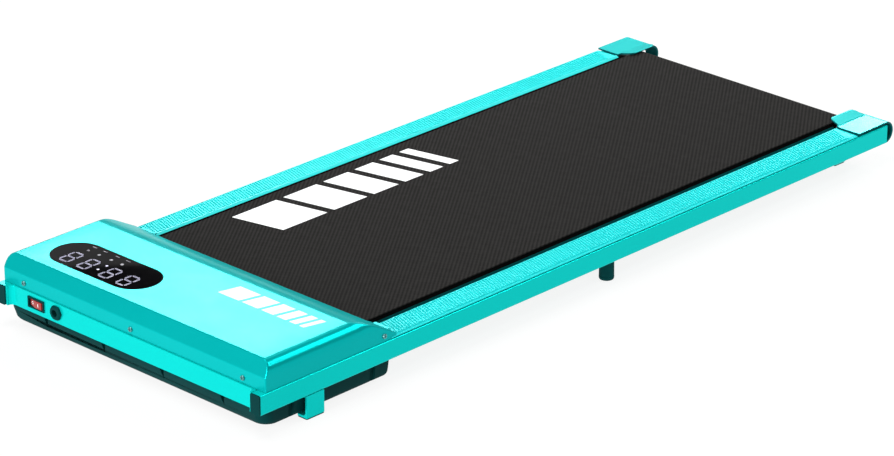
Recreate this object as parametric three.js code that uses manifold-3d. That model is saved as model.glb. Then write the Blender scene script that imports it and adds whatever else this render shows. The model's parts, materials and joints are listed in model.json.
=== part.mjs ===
// Under-desk treadmill (walking pad).
// Millimetres, +Z up. X is the width, Y the length with the motor hood at -Y, and the floor is z = 0.
// The origin is on the floor under the middle of the machine. "Left" is the +X side: the left hand of a
// person who walks on the belt and faces the hood.

import * as THREE from 'three';
import { ConvexGeometry } from 'three/addons/geometries/ConvexGeometry.js';
import { mergeVertices } from 'three/addons/utils/BufferGeometryUtils.js';
import Module from 'manifold-3d';

const wasm = await Module();
wasm.setup();

// ---------------------------------------------------------------- driving dimensions

const LENGTH = 1262;
const WIDTH = 500;
const GAP = 0.3; // between pieces that touch on the real machine

const RAIL_BOTTOM = 33;
const RAIL_HEIGHT = 27.5;
const RAIL_WIDTH = 17;
const RAIL_WALL = 1.6;
const RAIL_START = 2; // distances along the machine are measured from its front face
const RAIL_END = 1249;
const RAIL_TOP = RAIL_BOTTOM + RAIL_HEIGHT;
const HALF_WIDTH = WIDTH / 2;
const RAIL_INNER = HALF_WIDTH - RAIL_WIDTH; // half the clear width between the rails

const CROSSMEMBER_FACE = 10;
const SHEET = 2.5;

const BELT_WIDTH = 391;
const BELT_THICKNESS = 1.8;
const BELT_TOP = 67.2;
const BELT_BEND_RADIUS = 21.5;
const FRONT_ROLLER_AT = 170;
const REAR_ROLLER_AT = 1212;
const ROLLER_HEIGHT = BELT_TOP - BELT_BEND_RADIUS;
const ROLLER_RADIUS = BELT_BEND_RADIUS - BELT_THICKNESS - GAP;
const ROLLER_HALF = 199;
const AXLE_RADIUS = 7.5;
const AXLE_HALF = 231;
const BEARING_RADIUS = 16;
const BEARING_WIDTH = 11;

const DECK_HALF_WIDTH = 203.5;
const DECK_THICKNESS = 14;
const DECK_TOP = BELT_TOP - BELT_THICKNESS - GAP;
const DECK_START = 197;
const DECK_END = 1185;
const CROSS_TUBE_HEIGHT = 13;
const CROSS_TUBE_DEPTH = 30;
const CROSS_TUBES_AT = { front: 245, middle: 661, rear: 1120 };

const STRIP_START = 234;
const STRIP_END = 1181;
const STRIP_INNER = 206;
const STRIP_TOP = 65.2;

const CAP_START = 1183.5;
const CAP_TOP = 66.5;
const CAP_SHEET = 2.5;
const LOBE_TOP = 71.2;
const LOBE_INNER = 188;
const WRAP_INNER = 198; // the part of the cap that curls down behind the rail and the belt's edge

const HOOD_START = 12.7;
const HOOD_END = 243;
const HOOD_TOP = 101;
const HOOD_HALF_WIDTH = 248;
const HOOD_WALL = 2;
const HOOD_SCREW_HEIGHT = 68.5;
const HOOD_SCREW_SPACING = 207.5;
const HOOD_SIDE_SCREW_AT = 221.7;

const PAN_START = 12;
const PAN_END = 238;
const PAN_BOTTOM = 7.5;
const PAN_HALF_WIDTH = 243;
const PAN_WALL = 2.5;

const MOTOR_AT = 63;
const MOTOR_HEIGHT = 48;
const MOTOR_RADIUS = 34;
const MOTOR_PULLEY_RADIUS = 9;
const ROLLER_PULLEY_RADIUS = 32;
const PULLEY_INNER = 204.5;
const PULLEY_OUTER = 217.5;
const DRIVE_BELT_THICKNESS = 2.5;

const LEG_AT = 81;
const LEG_LENGTH = 31;
const MIDDLE_FOOT_X = 229.2;
const MIDDLE_FOOT_AT = 667;
const MIDDLE_FOOT_RADIUS = 10.6;
const REAR_LEG_AT = 1192;
const REAR_LEG_LENGTH = 22;
const PAD_THICKNESS = 1.2;

const WINDOW_X = -117;
const WINDOW_AT = 76.5;
const WINDOW_LENGTH = 185.5;
const WINDOW_DEPTH = 73;

const SWITCH_X = -181;
const SWITCH_HEIGHT = 47.8;
const ROCKER_LENGTH = 26;
const ROCKER_DEPTH = 10.2;
const ROCKER_TILT = THREE.MathUtils.degToRad(8);
const ROCKER_PIVOT_AT = 13.5;
const GLAND_X = -141.5;
const GLAND_HEIGHT = 47.9;

// ---------------------------------------------------------------- materials

function finish(color, roughness, metalness) {
  return new THREE.MeshStandardMaterial({ color, roughness, metalness });
}

const looks = {
  paint: finish(0x2fe6e0, 0.35, 0.2),
  strip: finish(0x3fe0da, 0.45, 0.1),
  blackPlastic: finish(0x14292b, 0.45, 0.0),
  rubber: finish(0x101414, 0.8, 0.0),
  belt: finish(0x2d2b2a, 0.8, 0.0),
  steel: finish(0xb8bcc0, 0.3, 0.9),
  darkSteel: finish(0x4a4d50, 0.4, 0.8),
  aluminium: finish(0xc9ccd0, 0.4, 0.8),
  wood: finish(0x8a6a48, 0.7, 0.0),
  glass: finish(0x08090b, 0.08, 0.0),
  board: finish(0x14603a, 0.5, 0.0),
  rocker: finish(0xc81e18, 0.35, 0.0),
};

// ---------------------------------------------------------------- frame of reference and placing

function along(distance) {
  return distance - LENGTH / 2;
}

function named(name, geometry, look, x = 0, y = 0, z = 0) {
  const mesh = new THREE.Mesh(geometry, look.clone());
  mesh.name = name;
  mesh.position.set(x, y, z);
  return mesh;
}

function bothSides(build) {
  return [build(1, 'left'), build(-1, 'right')];
}

// ---------------------------------------------------------------- outlines

function outline(points) {
  return new THREE.Shape(points.map(([u, v]) => new THREE.Vector2(u, v)));
}

// An outline drawn for the left side, in distances from the middle plane.
function sideOutline(side, points) {
  return outline(points.map(([x, v]) => [side * x, v]));
}

function rectangle(u0, v0, u1, v1) {
  return outline([[u0, v0], [u1, v0], [u1, v1], [u0, v1]]);
}

function roundedRectangle(u0, v0, u1, v1, r) {
  const shape = new THREE.Shape();
  shape.moveTo(u0 + r, v0);
  shape.lineTo(u1 - r, v0);
  shape.absarc(u1 - r, v0 + r, r, -Math.PI / 2, 0);
  shape.lineTo(u1, v1 - r);
  shape.absarc(u1 - r, v1 - r, r, 0, Math.PI / 2);
  shape.lineTo(u0 + r, v1);
  shape.absarc(u0 + r, v1 - r, r, Math.PI / 2, Math.PI);
  shape.lineTo(u0, v0 + r);
  shape.absarc(u0 + r, v0 + r, r, Math.PI, Math.PI * 1.5);
  return shape;
}

// A tight loop round two circles, u0 < u1: the path of a belt or the outline of a stadium.
function loopPath(path, u0, v0, r0, u1, v1, r1) {
  const slope = Math.atan2(v1 - v0, u1 - u0);
  const spread = Math.acos((r0 - r1) / Math.hypot(u1 - u0, v1 - v0));
  path.absarc(u1, v1, r1, slope - spread, slope + spread);
  path.absarc(u0, v0, r0, slope + spread, slope - spread + 2 * Math.PI);
  path.closePath();
  return path;
}

function stadium(centreU, centreV, length, width) {
  const half = (length - width) / 2;
  const r = width / 2;
  return loopPath(new THREE.Shape(), centreU - half, centreV, r, centreU + half, centreV, r);
}

// ---------------------------------------------------------------- solids

// The points of a path, without the near-doubles where a line meets the start of an arc.
function distinctPoints(path, curveSegments) {
  const points = path.getPoints(curveSegments);
  return points.filter((point, i) => point.distanceTo(points[(i + 1) % points.length]) > 1e-3);
}

function extrude(shape, depth, curveSegments) {
  const plain = new THREE.Shape(distinctPoints(shape, curveSegments));
  plain.holes = shape.holes.map((hole) => new THREE.Path(distinctPoints(hole, curveSegments)));
  return new THREE.ExtrudeGeometry(plain, { depth, steps: 1, bevelEnabled: false });
}

// Outline in (y, z), running along X from x0 to x1.
function alongX(shape, x0, x1, curveSegments = 6) {
  const turn = new THREE.Matrix4().makeBasis(
    new THREE.Vector3(0, 1, 0), new THREE.Vector3(0, 0, 1), new THREE.Vector3(1, 0, 0));
  return extrude(shape, x1 - x0, curveSegments).applyMatrix4(turn).translate(x0, 0, 0);
}

// Outline in (x, z), running along Y from y0 to y1.
function alongY(shape, y0, y1, curveSegments = 6) {
  const turn = new THREE.Matrix4().makeBasis(
    new THREE.Vector3(1, 0, 0), new THREE.Vector3(0, 0, 1), new THREE.Vector3(0, -1, 0));
  return extrude(shape, y1 - y0, curveSegments).applyMatrix4(turn).translate(0, y1, 0);
}

// Outline in (x, y), running up from z0 to z1.
function alongZ(shape, z0, z1, curveSegments = 6) {
  return extrude(shape, z1 - z0, curveSegments).translate(0, 0, z0);
}

// Profile of [distance along the axis, radius] points, turned about X, Y or Z.
function turned(axis, profile, segments) {
  const points = profile.map(([distance, radius]) => new THREE.Vector2(radius, distance));
  const lathe = new THREE.LatheGeometry(points, segments);
  if (axis === 'x') lathe.rotateZ(-Math.PI / 2);
  if (axis === 'z') lathe.rotateX(Math.PI / 2);
  return lathe;
}

function rod(axis, start, end, radius, segments = 16) {
  return turned(axis, [[start, 0], [start, radius], [end, radius], [end, 0]], segments);
}

function block(x0, x1, y0, y1, z0, z1) {
  const box = new THREE.BoxGeometry(x1 - x0, y1 - y0, z1 - z0);
  return box.translate((x0 + x1) / 2, (y0 + y1) / 2, (z0 + z1) / 2);
}

// A block between two distances from the middle plane, on the left (side 1) or the right (side -1).
function sideBlock(side, inner, outer, y0, y1, z0, z1) {
  return block(Math.min(side * inner, side * outer), Math.max(side * inner, side * outer), y0, y1, z0, z1);
}

function at(geometry, x, y, z) {
  return geometry.clone().translate(x, y, z);
}

// ---------------------------------------------------------------- cutting and joining

function solidOf(geometry) {
  const bare = geometry.clone();
  bare.deleteAttribute('normal');
  if (bare.getAttribute('uv')) bare.deleteAttribute('uv');
  const merged = mergeVertices(bare, 1e-4);
  const vertProperties = new Float32Array(merged.getAttribute('position').array);
  const triVerts = withoutSlivers(merged.getIndex().array);
  const solid = new wasm.Manifold(new wasm.Mesh({ numProp: 3, vertProperties, triVerts }));
  return solid.volume() < 0 ? new wasm.Manifold(flipped(vertProperties, triVerts)) : solid;
}

// A lathe leaves triangles of no area where its profile meets the axis.
function withoutSlivers(index) {
  const kept = [];
  for (let i = 0; i < index.length; i += 3) {
    const [a, b, c] = index.slice(i, i + 3);
    if (a !== b && b !== c && c !== a) kept.push(a, b, c);
  }
  return new Uint32Array(kept);
}

function flipped(vertProperties, triVerts) {
  const turnedOver = triVerts.slice();
  for (let i = 0; i < turnedOver.length; i += 3) {
    turnedOver[i] = triVerts[i + 1];
    turnedOver[i + 1] = triVerts[i];
  }
  return new wasm.Mesh({ numProp: 3, vertProperties, triVerts: turnedOver });
}

function geometryOf(solid) {
  const mesh = solid.getMesh();
  const geometry = new THREE.BufferGeometry();
  geometry.setAttribute('position', new THREE.BufferAttribute(new Float32Array(mesh.vertProperties), 3));
  geometry.setIndex(new THREE.BufferAttribute(new Uint32Array(mesh.triVerts), 1));
  geometry.computeVertexNormals();
  return geometry;
}

function cut(geometry, ...tools) {
  return geometryOf(tools.reduce((solid, tool) => solid.subtract(solidOf(tool)), solidOf(geometry)));
}

function join(...parts) {
  return geometryOf(parts.slice(1).reduce((solid, part) => solid.add(solidOf(part)), solidOf(parts[0])));
}

function common(first, second) {
  return geometryOf(solidOf(first).intersect(solidOf(second)));
}

// ---------------------------------------------------------------- side rails and their plugs

const RAIL_CORNER = 1.8;
const SCREW_HOLE_RADIUS = 2.5;
// The side screw's tab, welded on top of the rail.
const HOOD_TAB = { inner: 241, outer: 243.5, top: 72.3, start: 212, end: 228 };

function sideRail(side, word) {
  const outer = side * HALF_WIDTH;
  const inner = side * RAIL_INNER;
  const low = Math.min(outer, inner);
  const high = Math.max(outer, inner);
  const section = roundedRectangle(low, RAIL_BOTTOM, high, RAIL_TOP, RAIL_CORNER);
  section.holes.push(
    rectangle(low + RAIL_WALL, RAIL_BOTTOM + RAIL_WALL, high - RAIL_WALL, RAIL_TOP - RAIL_WALL));
  const body = alongY(section, along(RAIL_START), along(RAIL_END), 3);
  const tab = sideBlock(side, HOOD_TAB.inner, HOOD_TAB.outer,
    along(HOOD_TAB.start), along(HOOD_TAB.end), RAIL_TOP - RAIL_WALL / 2, HOOD_TAB.top);
  const hole = at(rod('x', -8, 8, SCREW_HOLE_RADIUS, 12),
    side * HOOD_TAB.inner, along(HOOD_SIDE_SCREW_AT), HOOD_SCREW_HEIGHT);
  return named(`${word}_side_rail`, cut(join(body, tab), hole), looks.paint);
}

function railPlug(side, word) {
  const head = roundedRectangle(-RAIL_WIDTH / 2, 0, RAIL_WIDTH / 2, RAIL_HEIGHT, 2.2);
  const play = RAIL_WALL + GAP;
  const spigot = rectangle(-RAIL_WIDTH / 2 + play, play, RAIL_WIDTH / 2 - play, RAIL_HEIGHT - play);
  const spigotEnd = 14;
  const body = join(alongY(head, 0, RAIL_START - GAP, 3), alongY(spigot, RAIL_START - 1, spigotEnd));
  const x = side * (HALF_WIDTH - RAIL_WIDTH / 2);
  return named(`${word}_rail_plug`, body, looks.blackPlastic, x, along(0), RAIL_BOTTOM);
}

// ---------------------------------------------------------------- crossmember and cross tubes

const FACE_BEND_RADIUS = 8;
const UPSTAND_FRONT = 15.2; // the hood is screwed to this flange
const UPSTAND_TOP = 75;
const LOW_FLANGE_BACK = 22;
const SWITCH_CUTOUT = { length: 29.4, height: 13.4 };
const GLAND_HOLE_RADIUS = 8;

function frontCrossmember() {
  const bend = FACE_BEND_RADIUS;
  const end = RAIL_INNER - GAP;
  const back = CROSSMEMBER_FACE + SHEET;
  const bendCentre = end - SHEET - bend;
  const plan = new THREE.Shape();
  plan.moveTo(-end, back);
  plan.lineTo(-end, RAIL_START);
  plan.lineTo(-end + SHEET, RAIL_START);
  plan.absarc(-bendCentre, CROSSMEMBER_FACE - bend, bend, Math.PI, Math.PI / 2, true);
  plan.lineTo(bendCentre, CROSSMEMBER_FACE);
  plan.absarc(bendCentre, CROSSMEMBER_FACE - bend, bend, Math.PI / 2, 0, true);
  plan.lineTo(end, RAIL_START);
  plan.lineTo(end, back);
  const flangeEnd = end - 2;
  const face = alongZ(plan, RAIL_BOTTOM, RAIL_TOP, 5);
  const topFlange = block(-flangeEnd, flangeEnd, back - 1, UPSTAND_FRONT + SHEET, RAIL_TOP - SHEET, RAIL_TOP);
  const upstand = block(-flangeEnd, flangeEnd, UPSTAND_FRONT, UPSTAND_FRONT + SHEET,
    RAIL_TOP - 1, UPSTAND_TOP);
  const lowFlange = block(-flangeEnd, flangeEnd, back - 1, LOW_FLANGE_BACK, RAIL_BOTTOM, RAIL_BOTTOM + SHEET);
  const halfLength = SWITCH_CUTOUT.length / 2;
  const halfHeight = SWITCH_CUTOUT.height / 2;
  const switchHole = block(SWITCH_X - halfLength, SWITCH_X + halfLength, 0, back + 1,
    SWITCH_HEIGHT - halfHeight, SWITCH_HEIGHT + halfHeight);
  const glandHole = at(rod('y', 0, back + 1, GLAND_HOLE_RADIUS, 24), GLAND_X, 0, GLAND_HEIGHT);
  const screwHoles = [-1, 0, 1].map((step) => at(
    rod('y', UPSTAND_FRONT - 1, UPSTAND_FRONT + SHEET + 1, SCREW_HOLE_RADIUS, 12),
    step * HOOD_SCREW_SPACING, 0, HOOD_SCREW_HEIGHT));
  const body = cut(join(face, topFlange, upstand, lowFlange), switchHole, glandHole, ...screwHoles);
  return named('front_crossmember', body, looks.paint, 0, along(0), 0);
}

const TUBE_WALL = 1.5;
const TUBE_CORNER = 1.2;

function tubeSection(u0, v0, u1, v1) {
  const section = roundedRectangle(u0, v0, u1, v1, TUBE_CORNER);
  section.holes.push(rectangle(u0 + TUBE_WALL, v0 + TUBE_WALL, u1 - TUBE_WALL, v1 - TUBE_WALL));
  return section;
}

function crossTube(word, distance) {
  const end = RAIL_INNER - GAP;
  const section = tubeSection(-CROSS_TUBE_DEPTH / 2, 0, CROSS_TUBE_DEPTH / 2, CROSS_TUBE_HEIGHT);
  return named(`${word}_cross_tube`, alongX(section, -end, end, 2), looks.paint,
    0, along(distance), RAIL_BOTTOM);
}

// ---------------------------------------------------------------- legs and feet

const LEG_SHEET = 3;
const LEG_FOOT_WIDTH = 17;
const LEG_TOP_WIDTH = 6.5;

function frontLeg(side, word) {
  const thick = LEG_SHEET;
  const low = PAD_THICKNESS + GAP;
  const top = RAIL_BOTTOM - GAP;
  const web = HALF_WIDTH - thick;
  const footInner = HALF_WIDTH - LEG_FOOT_WIDTH;
  const topInner = HALF_WIDTH - LEG_TOP_WIDTH;
  const section = sideOutline(side, [
    [topInner, top], [HALF_WIDTH, top], [HALF_WIDTH, low], [footInner, low], [footInner, low + thick],
    [web - 3, low + thick], [web, low + thick + 3], [web, top - thick], [topInner, top - thick],
  ]);
  return named(`${word}_front_leg`, alongY(section, along(LEG_AT), along(LEG_AT + LEG_LENGTH)), looks.paint);
}

function frontLegPad(side, word) {
  const half = LEG_FOOT_WIDTH / 2;
  const plan = roundedRectangle(-half, 0, half, LEG_LENGTH, 2);
  const x = side * (HALF_WIDTH - half);
  return named(`${word}_front_leg_pad`, alongZ(plan, 0, PAD_THICKNESS, 3), looks.rubber, x, along(LEG_AT), 0);
}

function middleFoot(side, word) {
  const r = MIDDLE_FOOT_RADIUS;
  const top = RAIL_BOTTOM - GAP;
  const profile = [[0, 0], [0, r - 2], [0.7, r - 0.8], [2, r - 0.2], [4, r], [top, r], [top, 0]];
  return named(`${word}_middle_foot`, turned('z', profile, 20), looks.rubber,
    side * MIDDLE_FOOT_X, along(MIDDLE_FOOT_AT), 0);
}

const REAR_PAD_X = 188.3;
const REAR_PAD_HALF = 14;

// A bracket that slopes inwards from under the rail.
function rearLeg(side, word) {
  const low = PAD_THICKNESS + GAP;
  const top = RAIL_BOTTOM - GAP;
  const flangeEnd = HALF_WIDTH - 7;
  const bendTop = 216;
  const footInner = REAR_PAD_X - REAR_PAD_HALF - 0.5;
  const footOuter = REAR_PAD_X + REAR_PAD_HALF - 1;
  const section = sideOutline(side, [
    [flangeEnd, top], [bendTop, top], [footOuter, low + SHEET], [footInner, low + SHEET], [footInner, low],
    [footOuter + 1.5, low], [bendTop + 1.5, top - SHEET], [flangeEnd, top - SHEET],
  ]);
  const start = along(REAR_LEG_AT);
  return named(`${word}_rear_leg`, alongY(section, start, start + REAR_LEG_LENGTH), looks.paint);
}

function rearLegPad(side, word) {
  const plan = roundedRectangle(-REAR_PAD_HALF, 0, REAR_PAD_HALF, REAR_LEG_LENGTH, 2);
  return named(`${word}_rear_leg_pad`, alongZ(plan, 0, PAD_THICKNESS, 3), looks.rubber,
    side * REAR_PAD_X, along(REAR_LEG_AT), 0);
}

// ---------------------------------------------------------------- foot strips and rear caps

const STRIP_SKIRT_BOTTOM = 52;
const STRIP_WALL = 1.8;
const STRIP_CLIP = { inner: 229, outer: 231, bottom: 59.4 }; // hooks behind the rail's inner face

function footStrip(side, word) {
  const outer = HALF_WIDTH - 0.8;
  const seat = RAIL_TOP + GAP;
  const skirt = STRIP_INNER + STRIP_WALL;
  const section = sideOutline(side, [
    [STRIP_INNER, STRIP_SKIRT_BOTTOM], [skirt, STRIP_SKIRT_BOTTOM], [skirt, STRIP_TOP - 3],
    [STRIP_CLIP.inner, STRIP_TOP - 3.6], [STRIP_CLIP.inner, STRIP_CLIP.bottom],
    [STRIP_CLIP.outer, STRIP_CLIP.bottom], [STRIP_CLIP.outer, seat], [outer, seat], [outer, STRIP_TOP - 2.2],
    [outer - 0.7, STRIP_TOP - 1.5], [outer - 2.4, STRIP_TOP - 1.4], [STRIP_INNER + 3, STRIP_TOP - 0.2],
    [STRIP_INNER + 1, STRIP_TOP], [STRIP_INNER, STRIP_TOP - 0.8],
  ]);
  return named(`${word}_foot_strip`, alongY(section, along(STRIP_START), along(STRIP_END)), looks.strip);
}

const LOBE_FOLD = 211; // the plate is folded here, and its lobe rises over the belt's edge
const LOBE_SHEET = 1.8;
const KEY_HOLE = { x: 226, radius: 5 };

// Plan of the lobe: rounded corners at its inner end, and a step back from the plate's front edge.
function lobePlan(side, back) {
  const start = CAP_START;
  const plan = new THREE.Shape();
  plan.moveTo(side * (LOBE_FOLD + 4), start);
  plan.lineTo(side * (LOBE_FOLD + 4), back);
  plan.lineTo(side * (LOBE_INNER + 11), back);
  plan.quadraticCurveTo(side * LOBE_INNER, back, side * LOBE_INNER, back - 10);
  plan.lineTo(side * LOBE_INNER, start + 16);
  plan.quadraticCurveTo(side * LOBE_INNER, start + 7, side * (LOBE_INNER + 9), start + 5);
  plan.lineTo(side * LOBE_FOLD, start);
  return plan;
}

function rearCap(side, word) {
  const sheet = CAP_SHEET;
  const r = (CAP_TOP - RAIL_BOTTOM) / 2;
  const centreZ = RAIL_BOTTOM + r;
  const bendAt = LENGTH - r;
  const wrap = new THREE.Shape();
  wrap.moveTo(CAP_START, CAP_TOP);
  wrap.lineTo(bendAt, CAP_TOP);
  wrap.absarc(bendAt, centreZ, r, Math.PI / 2, -Math.PI / 2, true);
  wrap.lineTo(bendAt, RAIL_BOTTOM + sheet);
  wrap.absarc(bendAt, centreZ, r - sheet, -Math.PI / 2, Math.PI / 2, false);
  wrap.lineTo(CAP_START, CAP_TOP - sheet);
  const shell = alongX(wrap, Math.min(side * WRAP_INNER, side * HALF_WIDTH),
    Math.max(side * WRAP_INNER, side * HALF_WIDTH), 12);
  const railRoom = sideBlock(side, WRAP_INNER - 1, HALF_WIDTH + 1,
    CAP_START, RAIL_END + GAP, RAIL_BOTTOM - 1, RAIL_TOP + GAP);
  const keyHole = at(rod('y', bendAt, LENGTH + 1, KEY_HOLE.radius, 16), side * KEY_HOLE.x, 0, ROLLER_HEIGHT);
  const lobeBand = sideOutline(side, [
    [LOBE_FOLD, CAP_TOP], [LOBE_FOLD - 1.2, CAP_TOP + 0.7],
    [LOBE_INNER + 1.5, LOBE_TOP], [LOBE_INNER, LOBE_TOP - 0.5],
    [LOBE_INNER, LOBE_TOP - LOBE_SHEET - 0.2], [LOBE_FOLD, CAP_TOP - LOBE_SHEET],
    [LOBE_FOLD, CAP_TOP - sheet], [LOBE_FOLD + 3, CAP_TOP - sheet], [LOBE_FOLD + 3, CAP_TOP],
  ]);
  const band = alongY(lobeBand, CAP_START - 1, bendAt);
  const lobe = common(band, alongZ(lobePlan(side, bendAt - 1), CAP_TOP - 6, LOBE_TOP + 1, 5));
  // The flat plate stops short of the fold where the lobe begins.
  const lobeRoom = sideBlock(side, WRAP_INNER - 1, LOBE_FOLD,
    CAP_START - 1, bendAt - 1, CAP_TOP - sheet - 1, CAP_TOP + 1);
  const body = join(cut(shell, railRoom, keyHole, lobeRoom), lobe);
  return named(`${word}_rear_cap`, body, looks.paint, 0, along(0), 0);
}

// ---------------------------------------------------------------- motor hood and its screws

const HOOD_SHOULDER = 83; // the side is upright below this height
const HOOD_EDGE_WIDTH = 13.5;
const HOOD_FRONT_STRIP_TOP = 79.7;
const HOOD_KNEE = { at: 209, height: 86, slope: 0.553 }; // the straight slope down to the belt starts here

// Outline of the hood from the front, drawn inset by the wall for the inside.
function hoodFrontOutline(inset, bottom) {
  const half = HOOD_HALF_WIDTH - inset;
  const top = HOOD_TOP - inset;
  const shoulder = HOOD_SHOULDER;
  const inward = HOOD_EDGE_WIDTH;
  const shape = new THREE.Shape();
  shape.moveTo(-half, bottom);
  shape.lineTo(half, bottom);
  shape.lineTo(half, shoulder);
  shape.bezierCurveTo(half, shoulder + 11, half - 6, top - 1.5, half - inward, top);
  shape.lineTo(inward - half, top);
  shape.bezierCurveTo(6 - half, top - 1.5, -half, shoulder + 11, -half, shoulder);
  return shape;
}

// Outline of the hood from the side: front strip, bevel, flat top and long rear slope.
function hoodSideOutline(inset, bottom) {
  const top = HOOD_TOP - inset;
  const { at: kneeAt, slope } = HOOD_KNEE;
  const kneeZ = HOOD_KNEE.height - inset * Math.hypot(1, slope);
  const end = inset > 0 ? kneeAt + (kneeZ - bottom) / slope : HOOD_END;
  const shape = new THREE.Shape();
  shape.moveTo(HOOD_START + inset, bottom);
  shape.lineTo(end, bottom);
  shape.lineTo(end, kneeZ - (end - kneeAt) * slope);
  shape.lineTo(kneeAt, kneeZ);
  shape.quadraticCurveTo(184.5 - inset * 0.3, top - 1.5, 166, top);
  shape.lineTo(24.5 + inset * 0.7, top);
  shape.quadraticCurveTo(22.2 + inset * 0.7, top, 21.4 + inset * 0.8, top - 2.4);
  shape.lineTo(HOOD_START + inset, HOOD_FRONT_STRIP_TOP + inset * 0.2);
  return shape;
}

function hoodSolid(inset, bottom) {
  const front = alongY(hoodFrontOutline(inset, bottom), 0, 300, 6);
  const sideways = alongX(hoodSideOutline(inset, bottom), -260, 260, 6);
  return common(front, sideways);
}

const OVER_BELT = 70.2; // the hood's rear lip stays clear of the moving belt
const OVER_STRIP = 66.0;
const LIP_TAB = { inner: 207, outer: 233, start: 237.5, end: 250, thick: 1.6 }; // rests on the foot strip

function motorHood() {
  const outer = hoodSolid(0, RAIL_TOP + GAP);
  const inner = hoodSolid(HOOD_WALL, RAIL_TOP - 20);
  const roomHalf = STRIP_INNER - 3;
  const beltRoom = block(-roomHalf, roomHalf, 200, 260, 50, OVER_BELT);
  const stripRoom = [1, -1].map((side) => (
    sideBlock(side, roomHalf - 1, 260, STRIP_START - 1, 260, 50, OVER_STRIP)));
  const tabs = [1, -1].map((side) => sideBlock(side, LIP_TAB.inner, LIP_TAB.outer, LIP_TAB.start, LIP_TAB.end,
    OVER_STRIP, OVER_STRIP + LIP_TAB.thick));
  const play = 2 * GAP;
  const window = alongZ(stadium(WINDOW_X, WINDOW_AT, WINDOW_LENGTH + play, WINDOW_DEPTH + play),
    HOOD_TOP - 6, HOOD_TOP + 2, 10);
  const frontHoles = [-1, 0, 1].map((step) => at(
    rod('y', HOOD_START - 2, HOOD_START + 3.3, SCREW_HOLE_RADIUS, 12),
    step * HOOD_SCREW_SPACING, 0, HOOD_SCREW_HEIGHT));
  const sideHoles = [-1, 1].map((side) => at(
    rod('x', -4, 4, SCREW_HOLE_RADIUS, 12), side * HOOD_HALF_WIDTH, HOOD_SIDE_SCREW_AT, HOOD_SCREW_HEIGHT));
  const shell = cut(outer, inner, beltRoom, ...stripRoom, window, ...frontHoles, ...sideHoles);
  return named('motor_hood', join(shell, ...tabs), looks.paint, 0, along(0), 0);
}

const SCREW = { head: 3.6, shank: 2, length: 8 };

function screwProfile(headHeight) {
  const { head, shank, length } = SCREW;
  return [
    [-length, 0], [-length, shank], [0, shank], [0, head],
    [headHeight * 0.55, head * 0.93], [headHeight, head * 0.6], [headHeight, 0],
  ];
}

function frontHoodScrew(step, word) {
  const screw = turned('y', screwProfile(2), 16).rotateX(Math.PI);
  return named(`hood_screw_front_${word}`, screw, looks.steel,
    step * HOOD_SCREW_SPACING, along(HOOD_START - GAP), HOOD_SCREW_HEIGHT);
}

function sideHoodScrew(side, word) {
  const screw = turned('x', screwProfile(1.6), 16).rotateZ(side > 0 ? 0 : Math.PI);
  return named(`hood_screw_side_${word}`, screw, looks.steel,
    side * (HOOD_HALF_WIDTH + GAP), along(HOOD_SIDE_SCREW_AT), HOOD_SCREW_HEIGHT);
}

// ---------------------------------------------------------------- belly pan

const PAN_CORNER = { front: 18, rear: 6 };
const PAN_NOTCH = { spacing: 111.6, offset: 2, half: 4.5, depth: 15 };
const PAN_GROOVES_AT = [61, 205];
const PAN_BELT_ROOM = { half: 201, start: 214, bottom: 21 };

// One level of the pan: a rectangle with rounded corners, drawn in on each side.
function panRing(sideInset, frontInset, rearInset, z) {
  const half = PAN_HALF_WIDTH - sideInset;
  const front = PAN_START + frontInset;
  const back = PAN_END - rearInset;
  const { front: wide, rear: tight } = PAN_CORNER;
  const plan = new THREE.Shape();
  plan.absarc(half - wide, front + wide, wide, -Math.PI / 2, 0);
  plan.absarc(half - tight, back - tight, tight, 0, Math.PI / 2);
  plan.absarc(tight - half, back - tight, tight, Math.PI / 2, Math.PI);
  plan.absarc(wide - half, front + wide, wide, Math.PI, Math.PI * 1.5);
  return plan.getPoints(5).map((point) => new THREE.Vector3(point.x, point.y, z));
}

function panSolid(wall, top) {
  const floor = PAN_BOTTOM + wall;
  const rings = [
    [0, 0, 0, top], [0, 0, 0, RAIL_BOTTOM - GAP], [1.2, 4, 1, PAN_BOTTOM + 8.5],
    [2, 6, 2, PAN_BOTTOM + 3.5], [5, 10, 5, floor],
  ];
  return new ConvexGeometry(rings.flatMap(([sideInset, frontInset, rearInset, z]) => (
    panRing(sideInset + wall, frontInset + wall, rearInset + wall, Math.max(z, floor)))));
}

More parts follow.
